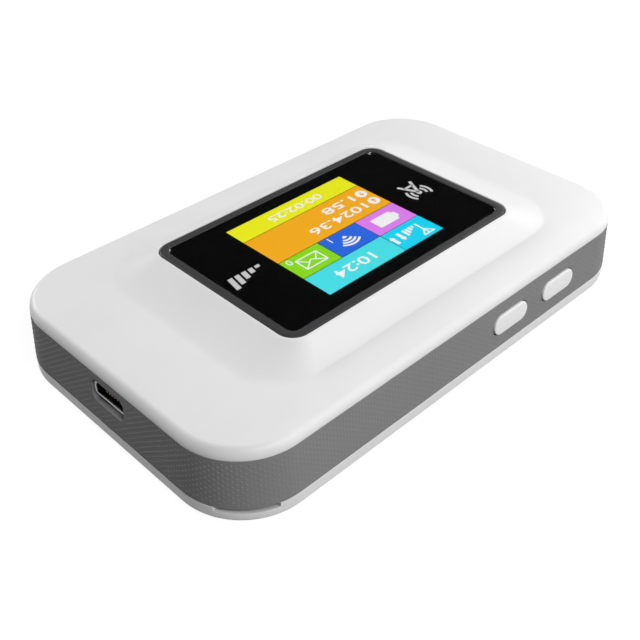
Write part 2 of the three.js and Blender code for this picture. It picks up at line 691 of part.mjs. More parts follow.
function addUsbSocket() {
  const mouth = -bandFaceX(USB_TOP) + USB_SINK;
  const back = mouth + USB_DEPTH;
  const shell = usbProfileBar(0, 0, mouth, back)
    .subtract(usbProfileBar(-USB_SKIN, 0, mouth - OVERCUT, back + OVERCUT));
  addPiece('usb_shell', shell, 'steel');
  const [reach, width, thickness] = USB_TONGUE;
  const middle = (USB_BASE + USB_TOP) / 2;
  const plugBack = usbProfileBar(-USB_SKIN - FIT_GAP, 0, mouth + reach, back);
  const tongue = block(mouth + USB_TONGUE_SETBACK, back - FIT_GAP, USB_Y - width / 2, USB_Y + width / 2,
    middle, middle + thickness);
  addPiece('usb_tongue', tongue.add(plugBack), 'chip');
  const [length, strip, skin] = USB_CONTACT;
  for (let i = 0; i < USB_CONTACTS; i += 1) {
    const y = USB_Y + (i - (USB_CONTACTS - 1) / 2) * USB_PITCH;
    const x = mouth + reach - FIT_GAP - length / 2;
    const contact = pad(x, y, length, strip, middle - LAYER_GAP - skin, middle - LAYER_GAP);
    addPiece(`usb_contact_${i + 1}`, contact, 'gold');
  }
}

// ---- Circuit board ----

function boardSection(z) {
  return bodySection(BOARD_TOP, BAND_WALL + BOARD_INSET, z);
}

function makeBoard() {
  const outline = boardSection(BOARD_TOP);
  let board = loft([{ ...outline, z: BOARD_BASE }, { ...outline, z: BOARD_TOP }]);
  for (const [x, y] of SCREW_PLACES) {
    board = board.subtract(pin(x, y, BOSS_RADIUS + RUN_GAP, BOARD_BASE - OVERCUT, BOARD_TOP + OVERCUT));
  }
  for (const { x } of KEYS) {
    const half = KEY_LENGTH / 2 + KEY_FLANGE + KEY_TRAVEL + RUN_GAP;
    const edge = PLUNGER_TIP - PUSHER[1] + KEY_TRAVEL + FIT_GAP;
    board = board.subtract(block(x - half, x + half, -BODY_WIDTH, edge,
      BOARD_BASE - OVERCUT, BOARD_TOP + OVERCUT));
  }
  return board;
}

// A sheet-metal can over the board, open towards it.
function makeCan({ x, y, length, width }) {
  const z0 = BOARD_TOP + LAYER_GAP;
  const z1 = z0 + SHIELD_HEIGHT;
  const skin = 2 * SHIELD_SKIN;
  return pad(x, y, length, width, z0, z1)
    .subtract(pad(x, y, length - skin, width - skin, z0 - OVERCUT, z1 - SHIELD_SKIN));
}

function makeChip({ x, y, length, width }) {
  const z0 = BOARD_TOP + LAYER_GAP;
  return pad(x, y, length, width, z0, z0 + CHIP_HEIGHT);
}

function addBoard() {
  addPiece('main_board', makeBoard(), 'board');
  addPiece('processor_shield', makeCan(PROCESSOR_CAN), 'steel');
  addPiece('radio_shield', makeCan(RADIO_CAN), 'steel');
  addPiece('processor_chip', makeChip(PROCESSOR_CHIP), 'chip');
  addPiece('memory_chip', makeChip(MEMORY_CHIP), 'chip');
  addPiece('radio_chip', makeChip(RADIO_CHIP), 'chip');
  addPiece('amplifier_chip', makeChip(AMPLIFIER_CHIP), 'chip');
  addPiece('power_chip', makeChip(POWER_CHIP), 'chip');
}

// ---- SIM holder ----

function addSimHolder() {
  const baseTop = BOARD_BASE - LAYER_GAP;
  const baseLow = baseTop - SIM_BASE_THICKNESS;
  addPiece('sim_base', pad(SIM_X, SIM_Y, SIM_LENGTH, SIM_WIDTH, baseLow, baseTop), 'chip');
  const high = baseLow - LAYER_GAP;
  const low = high - SIM_COVER_HEIGHT;
  const cover = pad(SIM_X, SIM_Y, SIM_LENGTH, SIM_WIDTH, low, high);
  const slot = pad(SIM_X - 2 * SIM_COVER_SKIN, SIM_Y, SIM_LENGTH, SIM_WIDTH - 2 * SIM_COVER_SKIN,
    low + SIM_COVER_SKIN, high + OVERCUT);
  const thumb = pin(SIM_X - SIM_LENGTH / 2, SIM_Y, SIM_WIDTH / 4, low - OVERCUT, high + OVERCUT);
  addPiece('sim_cover', cover.subtract(slot).subtract(thumb), 'steel');
}

// ---- Antennas ----

// A foil that follows the inside of the band within a box, cut into a meander by slots.
function makeAntenna(x0, x1, y0, y1) {
  const outer = BAND_WALL + FIT_GAP;
  const foil = bodyWall(ANTENNA_BASE, ANTENNA_BASE + ANTENNA_HEIGHT, outer, outer + ANTENNA_FOIL);
  return foil.intersect(block(x0, x1, y0, y1, ANTENNA_BASE - OVERCUT,
    ANTENNA_BASE + ANTENNA_HEIGHT + OVERCUT));
}

// Slots from the lower and the upper edge in turn, which leave the foil in one piece.
function cutMeander(foil, places, across) {
  let result = foil;
  places.forEach((place, i) => {
    const low = i % 2 === 0;
    const z0 = low ? ANTENNA_BASE - OVERCUT : ANTENNA_BASE + ANTENNA_SLOT;
    const z1 = ANTENNA_BASE + ANTENNA_HEIGHT + (low ? -ANTENNA_SLOT : OVERCUT);
    const half = ANTENNA_SLOT / 2;
    const slot = across === 'y'
      ? block(-BODY_LENGTH, BODY_LENGTH, place - half, place + half, z0, z1)
      : block(place - half, place + half, 0, BODY_WIDTH, z0, z1);
    result = result.subtract(slot);
  });
  return result;
}

function addAntennas() {
  const halfX = BODY_LENGTH / 2;
  const halfY = BODY_WIDTH / 2;
  const endSpan = halfY - CORNER_RADIUS;
  const main = makeAntenna(halfX - CORNER_RADIUS, halfX, -endSpan, endSpan);
  const mainSlots = [-3, -1, 1, 3].map((k) => k * endSpan / 4);
  addPiece('main_antenna', cutMeander(main, mainSlots, 'y'), 'foil');
  const longSpan = halfX - CORNER_RADIUS;
  const second = makeAntenna(-longSpan, -longSpan / 3, 0, halfY);
  const secondSlots = [-5, -4, -3].map((k) => k * longSpan / 6);
  addPiece('second_antenna', cutMeander(second, secondSlots, 'x'), 'foil');
  const wireless = makeAntenna(longSpan / 2, longSpan, 0, halfY);
  const wirelessSlots = [2, 2.5].map((k) => k * longSpan / 3);
  addPiece('wireless_antenna', cutMeander(wireless, wirelessSlots, 'x'), 'foil');
}

// ---- Battery, its connector and the chassis around it ----

const BATTERY = {
  x0: BATTERY_X - BATTERY_LENGTH / 2,
  x1: BATTERY_X + BATTERY_LENGTH / 2,
  y0: BATTERY_Y - BATTERY_WIDTH / 2,
  y1: BATTERY_Y + BATTERY_WIDTH / 2,
};

// A bar along X with rounded long edges.
function softBar(x0, x1, radius) {
  const hy = BATTERY_WIDTH / 2;
  const hz = BATTERY_THICKNESS / 2;
  const shape = new THREE.Shape();
  shape.absarc(hy - radius, hz - radius, radius, 0, Math.PI / 2, false);
  shape.absarc(-hy + radius, hz - radius, radius, Math.PI / 2, Math.PI, false);
  shape.absarc(-hy + radius, -hz + radius, radius, Math.PI, 3 * Math.PI / 2, false);
  shape.absarc(hy - radius, -hz + radius, radius, 3 * Math.PI / 2, 2 * Math.PI, false);
  const geometry = new THREE.ExtrudeGeometry(shape, {
    depth: x1 - x0, bevelEnabled: false, curveSegments: 5,
  });
  geometry.rotateX(Math.PI / 2);
  geometry.rotateZ(Math.PI / 2);
  geometry.translate(x0, BATTERY_Y, (BATTERY_BASE + BATTERY_TOP) / 2);
  return toSolid(geometry);
}

function addBattery() {
  const split = BATTERY.x1 - BATTERY_CAP;
  addPiece('battery_cell', softBar(BATTERY.x0, split - FIT_GAP, BATTERY_EDGE), 'wrap');
  const [depth, width, height] = TERMINAL;
  const middle = (BATTERY_BASE + BATTERY_TOP) / 2 + TERMINAL_RISE;
  let cap = softBar(split, BATTERY.x1, BATTERY_EDGE);
  const places = [];
  for (let i = 0; i < TERMINAL_COUNT; i += 1) {
    places.push(BATTERY_Y + (i - (TERMINAL_COUNT - 1) / 2) * TERMINAL_PITCH);
  }
  for (const y of places) {
    const recess = block(BATTERY.x1 - CAP_RECESS, BATTERY.x1 + OVERCUT, y - width / 2 - FIT_GAP,
      y + width / 2 + FIT_GAP, middle - height / 2 - FIT_GAP, middle + height / 2 + FIT_GAP);
    cap = cap.subtract(recess);
  }
  addPiece('battery_cap', cap, 'chip');
  places.forEach((y, i) => {
    const x0 = BATTERY.x1 - CAP_RECESS + LAYER_GAP;
    const terminal = block(x0, x0 + depth, y - width / 2, y + width / 2,
      middle - height / 2, middle + height / 2);
    addPiece(`battery_terminal_${i + 1}`, terminal, 'gold');
    addPiece(`battery_spring_${i + 1}`, makeSpring(y, middle), 'gold');
  });
  const front = BATTERY.x1 + RUN_GAP + SPRING[0];
  const [length, breadth] = CONNECTOR;
  const connector = pad(front + length / 2, BATTERY_Y, length, breadth,
    CONNECTOR_BASE, BOARD_BASE - LAYER_GAP);
  let slotted = connector;
  for (const y of places) {
    slotted = slotted.subtract(block(front - OVERCUT, front + SPRING_FOOT + FIT_GAP,
      y - SPRING[1] / 2 - FIT_GAP,
      y + SPRING[1] / 2 + FIT_GAP, middle - SPRING[2], middle + SPRING[2]));
  }
  addPiece('battery_connector', slotted, 'chip');
}

// A bowed contact blade with its foot in the connector.
function makeSpring(y, z) {
  const [reach, width, rise] = SPRING;
  const tip = BATTERY.x1 + RUN_GAP;
  const shape = new THREE.Shape();
  shape.moveTo(tip + reach + SPRING_FOOT, rise / 2);
  shape.lineTo(tip + reach, rise / 2);
  shape.quadraticCurveTo(tip - reach, 0, tip + reach, -rise / 2);
  shape.lineTo(tip + reach + SPRING_FOOT, -rise / 2);
  const geometry = new THREE.ExtrudeGeometry(shape, {
    depth: width, bevelEnabled: false, curveSegments: 6,
  });
  geometry.rotateX(Math.PI / 2);
  geometry.translate(0, y + width / 2, z);
  return toSolid(geometry);
}

// Middle and half size of each clip's plan: [x, y, half length along X, half length along Y].
function clipPlaces() {
  const inX = BODY_LENGTH / 2 - CLIP_INSET;
  const inY = BODY_WIDTH / 2 - CLIP_INSET;
  const half = CLIP_LENGTH / 2;
  const thin = CLIP_THICKNESS / 2;
  const places = [];
  for (const side of [-1, 1]) {
    for (const k of [-1, 0, 1]) {
      places.push([k * CLIP_SPACING_X, side * inY, half, thin]);
    }
    for (const k of [-0.5, 0.5]) {
      places.push([side * inX, k * CLIP_SPACING_Y, thin, half]);
    }
  }
  return places;
}

// The thumb recess beside the battery, grown by a wall, up to a height.
function thumbRecess(wall, z0, z1) {
  const y = BATTERY.y0 - RUN_GAP - THUMB_DEPTH + THUMB_RADIUS;
  return pin(BATTERY_X, y, THUMB_RADIUS + wall, z0, z1, THUMB_SIDES);
}

function makeChassis() {
  const wellOut = RUN_GAP + WELL_WALL;
  const thumbTop = FLANGE_TOP + FLANGE_THICKNESS;
  let chassis = bodyCore(CHASSIS_BASE, FLANGE_TOP, FLANGE_INSET)
    .add(block(BATTERY.x0 - wellOut, BATTERY.x1 + wellOut,
      BATTERY.y0 - wellOut, BATTERY.y1 + wellOut, CHASSIS_BASE, ROOF_TOP))
    .add(thumbRecess(WELL_WALL, CHASSIS_BASE, thumbTop + WELL_WALL))
    .subtract(thumbRecess(0, CHASSIS_BASE - OVERCUT, thumbTop))
    .subtract(block(BATTERY.x0 - RUN_GAP, BATTERY.x1 + RUN_GAP,
      BATTERY.y0 - RUN_GAP, BATTERY.y1 + RUN_GAP, CHASSIS_BASE - OVERCUT, ROOF_BASE));
  for (const [x, y] of SCREW_PLACES) {
    chassis = chassis.add(pin(x, y, BOSS_RADIUS + BOARD_INSET, CHASSIS_BASE, PAD_TOP))
      .subtract(pin(x, y, SCREW_HEAD_RADIUS + RUN_GAP, CHASSIS_BASE - OVERCUT, SCREW_SEAT))
      .subtract(pin(x, y, SCREW_RADIUS + FIT_GAP, CHASSIS_BASE - OVERCUT, PAD_TOP + OVERCUT));
  }
  for (const [x, y] of fourCorners(BODY_LENGTH / 2 - POST_INSET, POST_Y)) {
    chassis = chassis.add(pin(x, y, POST_RADIUS, CHASSIS_BASE, BOARD_BASE - FIT_GAP, POST_SIDES));
  }
  const room = RUN_GAP + CLIP_BEAD;
  for (const [x, y, halfX, halfY] of clipPlaces()) {
    chassis = chassis.subtract(block(x - halfX - room, x + halfX + room,
      y - halfY - room, y + halfY + room, CHASSIS_BASE - OVERCUT, FLANGE_TOP + OVERCUT));
  }
  const connectorHole = block(BATTERY.x1, BATTERY.x1 + RUN_GAP + SPRING[0] + CONNECTOR[0] + RUN_GAP,
    BATTERY_Y - CONNECTOR[1] / 2 - RUN_GAP, BATTERY_Y + CONNECTOR[1] / 2 + RUN_GAP,
    FLANGE_TOP, ROOF_TOP + OVERCUT);
  const cardWindow = pad(SIM_X, SIM_Y, SIM_LENGTH + 2 * SIM_WINDOW_MARGIN,
    SIM_WIDTH + 2 * SIM_WINDOW_MARGIN, ROOF_BASE - OVERCUT, ROOF_TOP + OVERCUT);
  const pinhole = pin(RESET_X, RESET_Y, PINHOLE_RADIUS, CHASSIS_BASE - OVERCUT, FLANGE_TOP + OVERCUT);
  return chassis.subtract(connectorHole).subtract(cardWindow).subtract(pinhole);
}

// ---- Back cover ----

function makeBackCover() {
  const top = LOWER_SEAM - SEAM_GAP;
  const sections = [];
  for (let step = 0; step <= ROUND_STEPS; step += 1) {
    const angle = step / ROUND_STEPS * Math.PI / 2;
    const inset = REAR_EDGE_RADIUS * (1 - Math.sin(angle));
    sections.push({ ...bodySection(0, inset), z: REAR_EDGE_RADIUS * (1 - Math.cos(angle)) });
  }
  sections.push({ ...bodySection(0, 0), z: top });
  const rim = bodySection(0, REAR_WALL);
  let cover = loft(sections)
    .subtract(loft([{ ...rim, z: REAR_FLOOR }, { ...rim, z: top + OVERCUT }]));
  for (const [x, y, halfX, halfY] of clipPlaces()) {
    cover = cover.add(block(x - halfX, x + halfX, y - halfY, y + halfY,
      REAR_FLOOR / 2, REAR_FLOOR + CLIP_RISE));
    cover = cover.add(makeClipBead(x, y, halfX, halfY));
  }
  return cover.subtract(makeNotch(top));
}

// The rounded bead near a clip's free end, on its outer face.
function makeClipBead(x, y, halfX, halfY) {
  const alongX = halfX > halfY;
  const length = 2 * Math.max(halfX, halfY);
  const geometry = new THREE.CylinderGeometry(CLIP_BEAD, CLIP_BEAD, length, 8);
  if (alongX) geometry.rotateZ(Math.PI / 2);
  const outX = alongX ? 0 : Math.sign(x) * halfX;
  const outY = alongX ? Math.sign(y) * halfY : 0;
  geometry.translate(x + outX, y + outY, REAR_FLOOR + CLIP_RISE - 2 * CLIP_BEAD);
  return toSolid(geometry);
}

// The fingernail recess in the rim's upper edge, round the corner at -X, -Y: a strip of even depth
// that follows the corner's arc.
function makeNotch(top) {
  const arcX = -BODY_LENGTH / 2 + CORNER_RADIUS;
  const arcY = -BODY_WIDTH / 2 + CORNER_RADIUS;
  const from = THREE.MathUtils.degToRad(NOTCH_START);
  const to = THREE.MathUtils.degToRad(NOTCH_END);
  const strip = new THREE.Shape();
  strip.absarc(arcX, arcY, CORNER_RADIUS - NOTCH_DEPTH, from, to, false);
  strip.absarc(arcX, arcY, CORNER_RADIUS + OVERCUT, to, from, true);
  const geometry = new THREE.ExtrudeGeometry(strip, {
    depth: NOTCH_HEIGHT + OVERCUT, bevelEnabled: false, curveSegments: NOTCH_STEPS,
  });
  geometry.translate(0, 0, top - NOTCH_HEIGHT);
  return toSolid(geometry);
}

// ---- Screws ----

function makeScrew() {
  const head = SCREW_HEAD_HEIGHT;
  const profile = [
    new THREE.Vector2(0, 0),
    new THREE.Vector2(SCREW_HEAD_RADIUS * 0.8, 0),
    new THREE.Vector2(SCREW_HEAD_RADIUS, head * 0.3),
    new THREE.Vector2(SCREW_HEAD_RADIUS, head),
    new THREE.Vector2(SCREW_RADIUS, head),
    new THREE.Vector2(SCREW_RADIUS, SCREW_LENGTH - SCREW_RADIUS / 2),
    new THREE.Vector2(SCREW_RADIUS / 2, SCREW_LENGTH),
    new THREE.Vector2(0, SCREW_LENGTH),
  ];
  const geometry = new THREE.LatheGeometry(profile, 16);
  geometry.rotateX(Math.PI / 2);
  const reach = SCREW_HEAD_RADIUS * 0.7;
  const slot = SCREW_SLOT / 2;
  return toSolid(geometry)
    .subtract(block(-reach, reach, -slot, slot, -1, head / 2))
    .subtract(block(-slot, slot, -reach, reach, -1, head / 2));
}

function addScrews() {
  const screw = makeScrew();
  SCREW_PLACES.forEach(([x, y], i) => {
    addPiece(`screw_${i + 1}`, screw, 'steel', [x, y, SCREW_SEAT - LAYER_GAP - SCREW_HEAD_HEIGHT]);
  });
}

// ---- Assembly ----

addPiece('top_cover', makeTopCover(), 'white');
addPiece('side_band', makeSideBand(), 'grey');
addPiece('back_cover', makeBackCover(), 'white');
addPiece('chassis', makeChassis(), 'chassis');
addDisplay();
addKeys();
addResetSwitch();
addUsbSocket();
addBoard();
addSimHolder();
addAntennas();
addBattery();
addScrews();

export default hotspot;
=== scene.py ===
# %% [markdown]
# # A pocket mobile hotspot
# The object is a small battery-powered router. A white top shell carries a colour display, a grey
# textured band runs round the side with two keys and a charging socket in it, and a white back
# cover clips on underneath, over a battery. The exact solids of every piece are loaded first: they
# are the frame that each finer piece has to fit. Each piece here then either gives such a solid a
# better finish or stands in for it with a finer surface of the same size.

# %% Load the exact solids
import json
import math

import bmesh
import bpy
import numpy as np
from mathutils import Matrix, Vector

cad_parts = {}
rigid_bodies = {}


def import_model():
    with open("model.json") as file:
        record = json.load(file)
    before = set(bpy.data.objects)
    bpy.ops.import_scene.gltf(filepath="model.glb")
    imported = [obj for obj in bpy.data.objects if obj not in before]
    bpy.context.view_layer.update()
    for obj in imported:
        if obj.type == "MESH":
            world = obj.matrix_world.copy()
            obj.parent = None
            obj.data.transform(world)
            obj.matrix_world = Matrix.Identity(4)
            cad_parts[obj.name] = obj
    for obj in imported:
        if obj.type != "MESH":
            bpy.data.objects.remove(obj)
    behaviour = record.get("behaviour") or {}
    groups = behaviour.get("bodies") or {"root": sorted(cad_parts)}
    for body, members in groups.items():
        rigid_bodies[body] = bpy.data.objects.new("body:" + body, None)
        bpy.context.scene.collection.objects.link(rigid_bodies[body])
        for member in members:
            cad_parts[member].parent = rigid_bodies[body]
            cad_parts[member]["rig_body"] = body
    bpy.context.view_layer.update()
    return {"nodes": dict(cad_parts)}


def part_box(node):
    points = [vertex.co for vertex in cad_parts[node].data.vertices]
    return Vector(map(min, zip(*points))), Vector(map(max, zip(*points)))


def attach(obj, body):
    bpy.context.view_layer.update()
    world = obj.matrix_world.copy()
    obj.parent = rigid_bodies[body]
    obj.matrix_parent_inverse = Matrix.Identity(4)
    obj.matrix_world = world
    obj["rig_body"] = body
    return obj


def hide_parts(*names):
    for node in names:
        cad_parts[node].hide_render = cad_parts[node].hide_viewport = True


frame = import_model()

# %% [markdown]
# ## Sizes
# Designers of small plastic goods think in millimetres, and Blender counts in metres. All shapes
# below are worked out in millimetres and scaled once, when they go into a mesh. Whatever can be
# read from the loaded solids is read from them, so that the pieces follow if a size changes.

# %% Read the main sizes from the solids
MM = 0.001


def span(node):
    """The lowest and highest corner of a solid, in millimetres, as two arrays."""
    low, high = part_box(node)
    return np.array(low) / MM, np.array(high) / MM


def place_of(node):
    """The middle of a solid's box, in millimetres."""
    low, high = span(node)
    return (low + high) / 2


band_low, band_high = span("side_band")
bezel_low, bezel_high = span("display_bezel")
window_low, window_high = span("display_window")
cover_low, cover_high = span("top_cover")

CORNER = 12.1  # radius of the body's corners in plan, at the band's foot
DRAFT = 0.65  # how much narrower the band is at its upper edge
SEAM = 0.12  # gap between the band and each cover
FOOT = (band_high[0], band_high[1], CORNER)  # outline at the band's foot
HEAD = (FOOT[0] - DRAFT, FOOT[1] - DRAFT, CORNER - DRAFT)  # outline at its upper edge
BEZEL = (bezel_high[0], bezel_high[1], 3.0)
print("band from", band_low.round(2), "to", band_high.round(2), "mm")

# %% [markdown]
# ## Camera
# The camera stands over the corner between the socket's side and the keys' side and looks down at
# about 38 degrees, quite near, so that the far corners shrink. It is built from its three axes.
# Two angles give the line of sight, a third the small roll about it.

# %% Make the camera
VIEW_AZIMUTH = math.radians(-44.38)
VIEW_ELEVATION = math.radians(37.88)
VIEW_ROLL = math.radians(-0.12)
VIEW_TARGET = Vector((-15.7, -11.7, 11.74)) * MM
VIEW_DISTANCE = 148.5 * MM
VIEW_LENS = 52.83


def add_object(name, data):
    """An object that holds the data, linked into the scene."""
    made = bpy.data.objects.new(name, data)
    bpy.context.scene.collection.objects.link(made)
    return made


def camera_axes(azimuth, elevation, roll):
    """Right, up and back: back points from the target to the camera, right lies level and square
    to it, up is square to both, and then right and up turn by the roll."""
    back = Vector((math.sin(azimuth) * math.cos(elevation),
                   -math.cos(azimuth) * math.cos(elevation), math.sin(elevation)))
    right = Vector((0, 0, 1)).cross(back).normalized()
    up = back.cross(right)
    c, s = math.cos(roll), math.sin(roll)
    return c * right + s * up, c * up - s * right, back


right, up, back = camera_axes(VIEW_AZIMUTH, VIEW_ELEVATION, VIEW_ROLL)
camera_data = bpy.data.cameras.new("camera")
camera_data.sensor_width = 36.0
camera_data.lens = VIEW_LENS
camera_data.clip_start = 0.01
camera_data.clip_end = 20.0
camera = add_object("camera", camera_data)
camera.matrix_world = Matrix.Translation(VIEW_TARGET + back * VIEW_DISTANCE) @ Matrix(
    (right, up, back)).transposed().to_4x4()
bpy.context.scene.camera = camera
print("camera at", [round(c, 4) for c in camera.location])

# %% [markdown]
# ## Mesh helpers
# Almost every visible piece of this object is a stack of rounded rectangles: the outline of the
# shell seen from above, moved in or out and set at a height. So one function works out such an
# outline, and one joins a stack of them into a closed surface. A profile is a list of points, each
# an inset from the outline and a height.

# %% Helpers for outlines and profiles
CORNER_STEPS = 28


def rounded_outline(half_x, half_y, radius, steps=CORNER_STEPS):
    """A rounded rectangle, counter-clockwise from above: the centre of each corner's quarter
    circle, at half size minus radius, plus the radius times (cos a, sin a)."""
    angle = (np.arange(4)[:, None] + np.linspace(0, 1, steps + 1)) * math.pi / 2
    side_x = np.array([1, -1, -1, 1])[:, None]
    side_y = np.array([1, 1, -1, -1])[:, None]
    x = side_x * (half_x - radius) + radius * np.cos(angle)
    y = side_y * (half_y - radius) + radius * np.sin(angle)
    return np.stack([x.ravel(), y.ravel()], axis=1)


def soften(profile, radius, steps=4):
    """A closed profile with its corners rounded: each corner P gives way to the parabola
    (1-t)^2 A + 2t(1-t) P + t^2 B, where A and B lie a radius from P along its two sides."""
    p = np.asarray(profile, float)
    reach = np.broadcast_to(np.asarray(radius, float), len(p))[:, None]

    def toward(q):
        way = q - p
        length = np.linalg.norm(way, axis=1, keepdims=True)
        return p + way / length * np.minimum(reach, 0.48 * length)

    a, b = toward(np.roll(p, 1, axis=0)), toward(np.roll(p, -1, axis=0))
    t = np.linspace(0, 1, steps + 1)[:, None, None]
    curve = (1 - t) ** 2 * a + 2 * t * (1 - t) * p + t ** 2 * b
    return curve.transpose(1, 0, 2).reshape(-1, 2)


def sections_on(outline, profile):
    """Rows (half x, half y, radius, height): the outline moved in by each point's inset."""
    inset, z = np.asarray(profile, float).T
    half_x, half_y, radius = outline
    return np.stack([half_x - inset, half_y - inset, radius - inset, z], axis=1)


def grid_faces(rows, columns, closed):
    """Quads of a grid whose columns close on themselves, and whose rows do too if closed."""
    r = np.arange(rows if closed else rows - 1)[:, None]
    c = np.arange(columns)[None, :]
    corners = [((r + dr) % rows) * columns + (c + dc) % columns
               for dr, dc in ((0, 0), (0, 1), (1, 1), (1, 0))]
    return np.stack(corners, axis=-1).reshape(-1, 4)


print("outline points", len(rounded_outline(*FOOT)))

# %% [markdown]
# A mesh is made from the arrays in one call. Moulded and stamped pieces also need their shading
# set: faces that meet at a small angle shade as one smooth surface, sharper edges stay crisp, and
# the Weighted Normal modifier keeps the large flats looking flat next to narrow rounded edges.

# %% Helpers for meshes
SHARP_ANGLE = math.radians(35)


def put_mesh(name, points, faces):
    """Points in millimetres and faces as rows of indices become an object at the origin."""
    mesh = bpy.data.meshes.new(name)
    mesh.from_pydata((np.asarray(points, float) * MM).tolist(), [], faces)
    mesh.update()
    return add_object(name, mesh)


def shade(piece, angle=SHARP_ANGLE):
    """Smooth shading, with edges sharper than the angle kept crisp and flats kept flat."""
    piece.data.polygons.foreach_set("use_smooth", np.ones(len(piece.data.polygons), bool))
    piece.data.set_sharp_from_angle(angle=angle)
    weighted = piece.modifiers.new("flat_faces", "WEIGHTED_NORMAL")
    weighted.keep_sharp = True
    weighted.weight = 60
    return piece


def loft(name, rings, closed=False):
    """A surface through equal rings of points, shape (rings, around, 3). An open stack is closed
    by a face at each end, a closed one joins its last ring to its first."""
    rows, columns = rings.shape[:2]
    faces = grid_faces(rows, columns, closed).tolist()
    if not closed:
        last = (rows - 1) * columns
        faces += [list(range(columns))[::-1], list(range(last, last + columns))]
    return put_mesh(name, rings.reshape(-1, 3), faces)


def at_height(outline, z):
    """An outline in plan as a ring of points at one height."""
    return np.column_stack([outline, np.full(len(outline), z)])


def stack(name, sections, closed=False):
    """A surface through rounded rectangles given as rows (half x, half y, radius, height)."""
    rings = [at_height(rounded_outline(*row[:3]), row[3]) for row in sections]
    return loft(name, np.stack(rings), closed)


def outward(piece):
    """Turns every face outwards, after merging doubles."""
    work = bmesh.new()
    work.from_mesh(piece.data)
    bmesh.ops.remove_doubles(work, verts=work.verts, dist=1e-7)
    bmesh.ops.recalc_face_normals(work, faces=work.faces)
    work.to_mesh(piece.data)
    work.free()
    return piece


def prism(name, outline, low, high, to_frame):
    """An outline in two directions (u, v), run along a third from low to high. to_frame says
    where (u, v, w) lies in the object's frame."""
    u, v = np.asarray(outline, float).T
    rings = [np.stack(to_frame(u, v, np.full(len(u), w)), axis=1) for w in (low, high)]
    return outward(loft(name, np.stack(rings)))


def apply_modifiers(piece):
    """The mesh that the modifiers make becomes the piece's own."""
    graph = bpy.context.evaluated_depsgraph_get()
    mesh = bpy.data.meshes.new_from_object(piece.evaluated_get(graph))
    piece.modifiers.clear()
    piece.data = mesh
    return piece


def carve(piece, tools, operation="DIFFERENCE"):
    """Cuts the tools' solids out of the piece, or joins them to it, and removes the tools."""
    for tool in tools:
        cut = piece.modifiers.new("cut", "BOOLEAN")
        cut.operation, cut.solver, cut.object = operation, "EXACT", tool
    apply_modifiers(piece)
    for tool in tools:
        bpy.data.objects.remove(tool)
    return piece


def round_edges(piece, width, segments=2, angle=50.0):
    """Rounds each edge sharper than the angle, as the radius left by a mould or a die."""
    bevel = piece.modifiers.new("edge_radius", "BEVEL")
    bevel.width = width * MM
    bevel.segments = segments
    bevel.limit_method = "ANGLE"
    bevel.angle_limit = math.radians(angle)
    bevel.miter_outer = "MITER_ARC"
    return apply_modifiers(piece)


def fit(piece, finish, body, *nodes, slot=None):
    """Gives a finished piece its finish, its body, and the solids that it stands for. Its slot is
    not used.
    """
    piece.data.materials.clear()
    piece.data.materials.append(finish)
    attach(piece, body)
    if nodes:
        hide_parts(*nodes)
    return piece


print("mesh helpers ready")

# %% [markdown]
# ## Floor, world and lamps
# The scene is a product table. The floor and the world look white to the camera and in
# reflections and glass, while the light that they throw on the object stays modest, so white
# plastic doesn't burn out. High up, reflections and glass find a darker room, as in a studio whose
# ceiling is black: that keeps the display's glass deep. The floor still shows the object's soft
# shadow, because part of what the camera sees there is ordinary matt paint. Far out, where the
# lamps don't reach, its own white makes up for them, so no horizon shows.

# %% Helpers for nodes
def add_node(tree, kind, sockets=(), **settings):
    """A shader node with its settings. Each socket is given a number, a colour or an output."""
    made = tree.nodes.new("ShaderNode" + kind)
    for key, value in settings.items():
        setattr(made, key, value)
    for key, value in dict(sockets).items():
        if isinstance(value, bpy.types.NodeSocket):
            tree.links.new(value, made.inputs[key])
        else:
            made.inputs[key].default_value = value
    return made


def link(tree, source, target):
    tree.links.new(source, target)


def math_node(tree, operation, *values):
    """One arithmetic node on numbers and sockets."""
    return add_node(tree, "Math", enumerate(values), operation=operation).outputs[0]


def spread(tree, value, low, high, start=0.3, end=0.7, curve="LINEAR"):
    """Carries a value from the range start..end to the range low..high."""
    return add_node(tree, "MapRange", {
        "Value": value, "From Min": start, "From Max": end, "To Min": low, "To Max": high},
        interpolation_type=curve).outputs["Result"]


def mix_float(tree, factor, a, b):
    """a + factor * (b - a), with a and b numbers or sockets."""
    return add_node(tree, "Mix", {"Factor": factor, 2: a, 3: b}, data_type="FLOAT").outputs[0]


def mirror_ray(tree):
    """1 for rays that a gloss or a clear body sends on, else 0, and 1 for the camera's."""
    path = add_node(tree, "LightPath").outputs
    return path["Is Camera Ray"], math_node(tree, "MAXIMUM", path["Is Glossy Ray"],
                                            path["Is Transmission Ray"])


print("node helpers ready")

# %% Make the world
WORLD_FILL = 0.11  # light that the world throws on matt surfaces
ROOM_DARK = 0.02  # what reflections find overhead
DUSK = (0.12, 0.42)  # how high a reflection looks where the room starts and ends to darken

world = bpy.data.worlds.new("studio")
bpy.context.scene.world = world
world.use_nodes = True
tree = world.node_tree
seen, mirrored = mirror_ray(tree)
height = add_node(tree, "SeparateXYZ", {0: add_node(tree, "TexCoord").outputs["Generated"]})
room = spread(tree, height.outputs["Z"], 1.0, ROOM_DARK, *DUSK, "SMOOTHSTEP")
strength = mix_float(tree, seen, mix_float(tree, mirrored, WORLD_FILL, room), 1.0)
background = tree.nodes["Background"]
background.inputs["Color"].default_value = (1, 1, 1, 1)
link(tree, strength, background.inputs["Strength"])
print("world fill", WORLD_FILL)

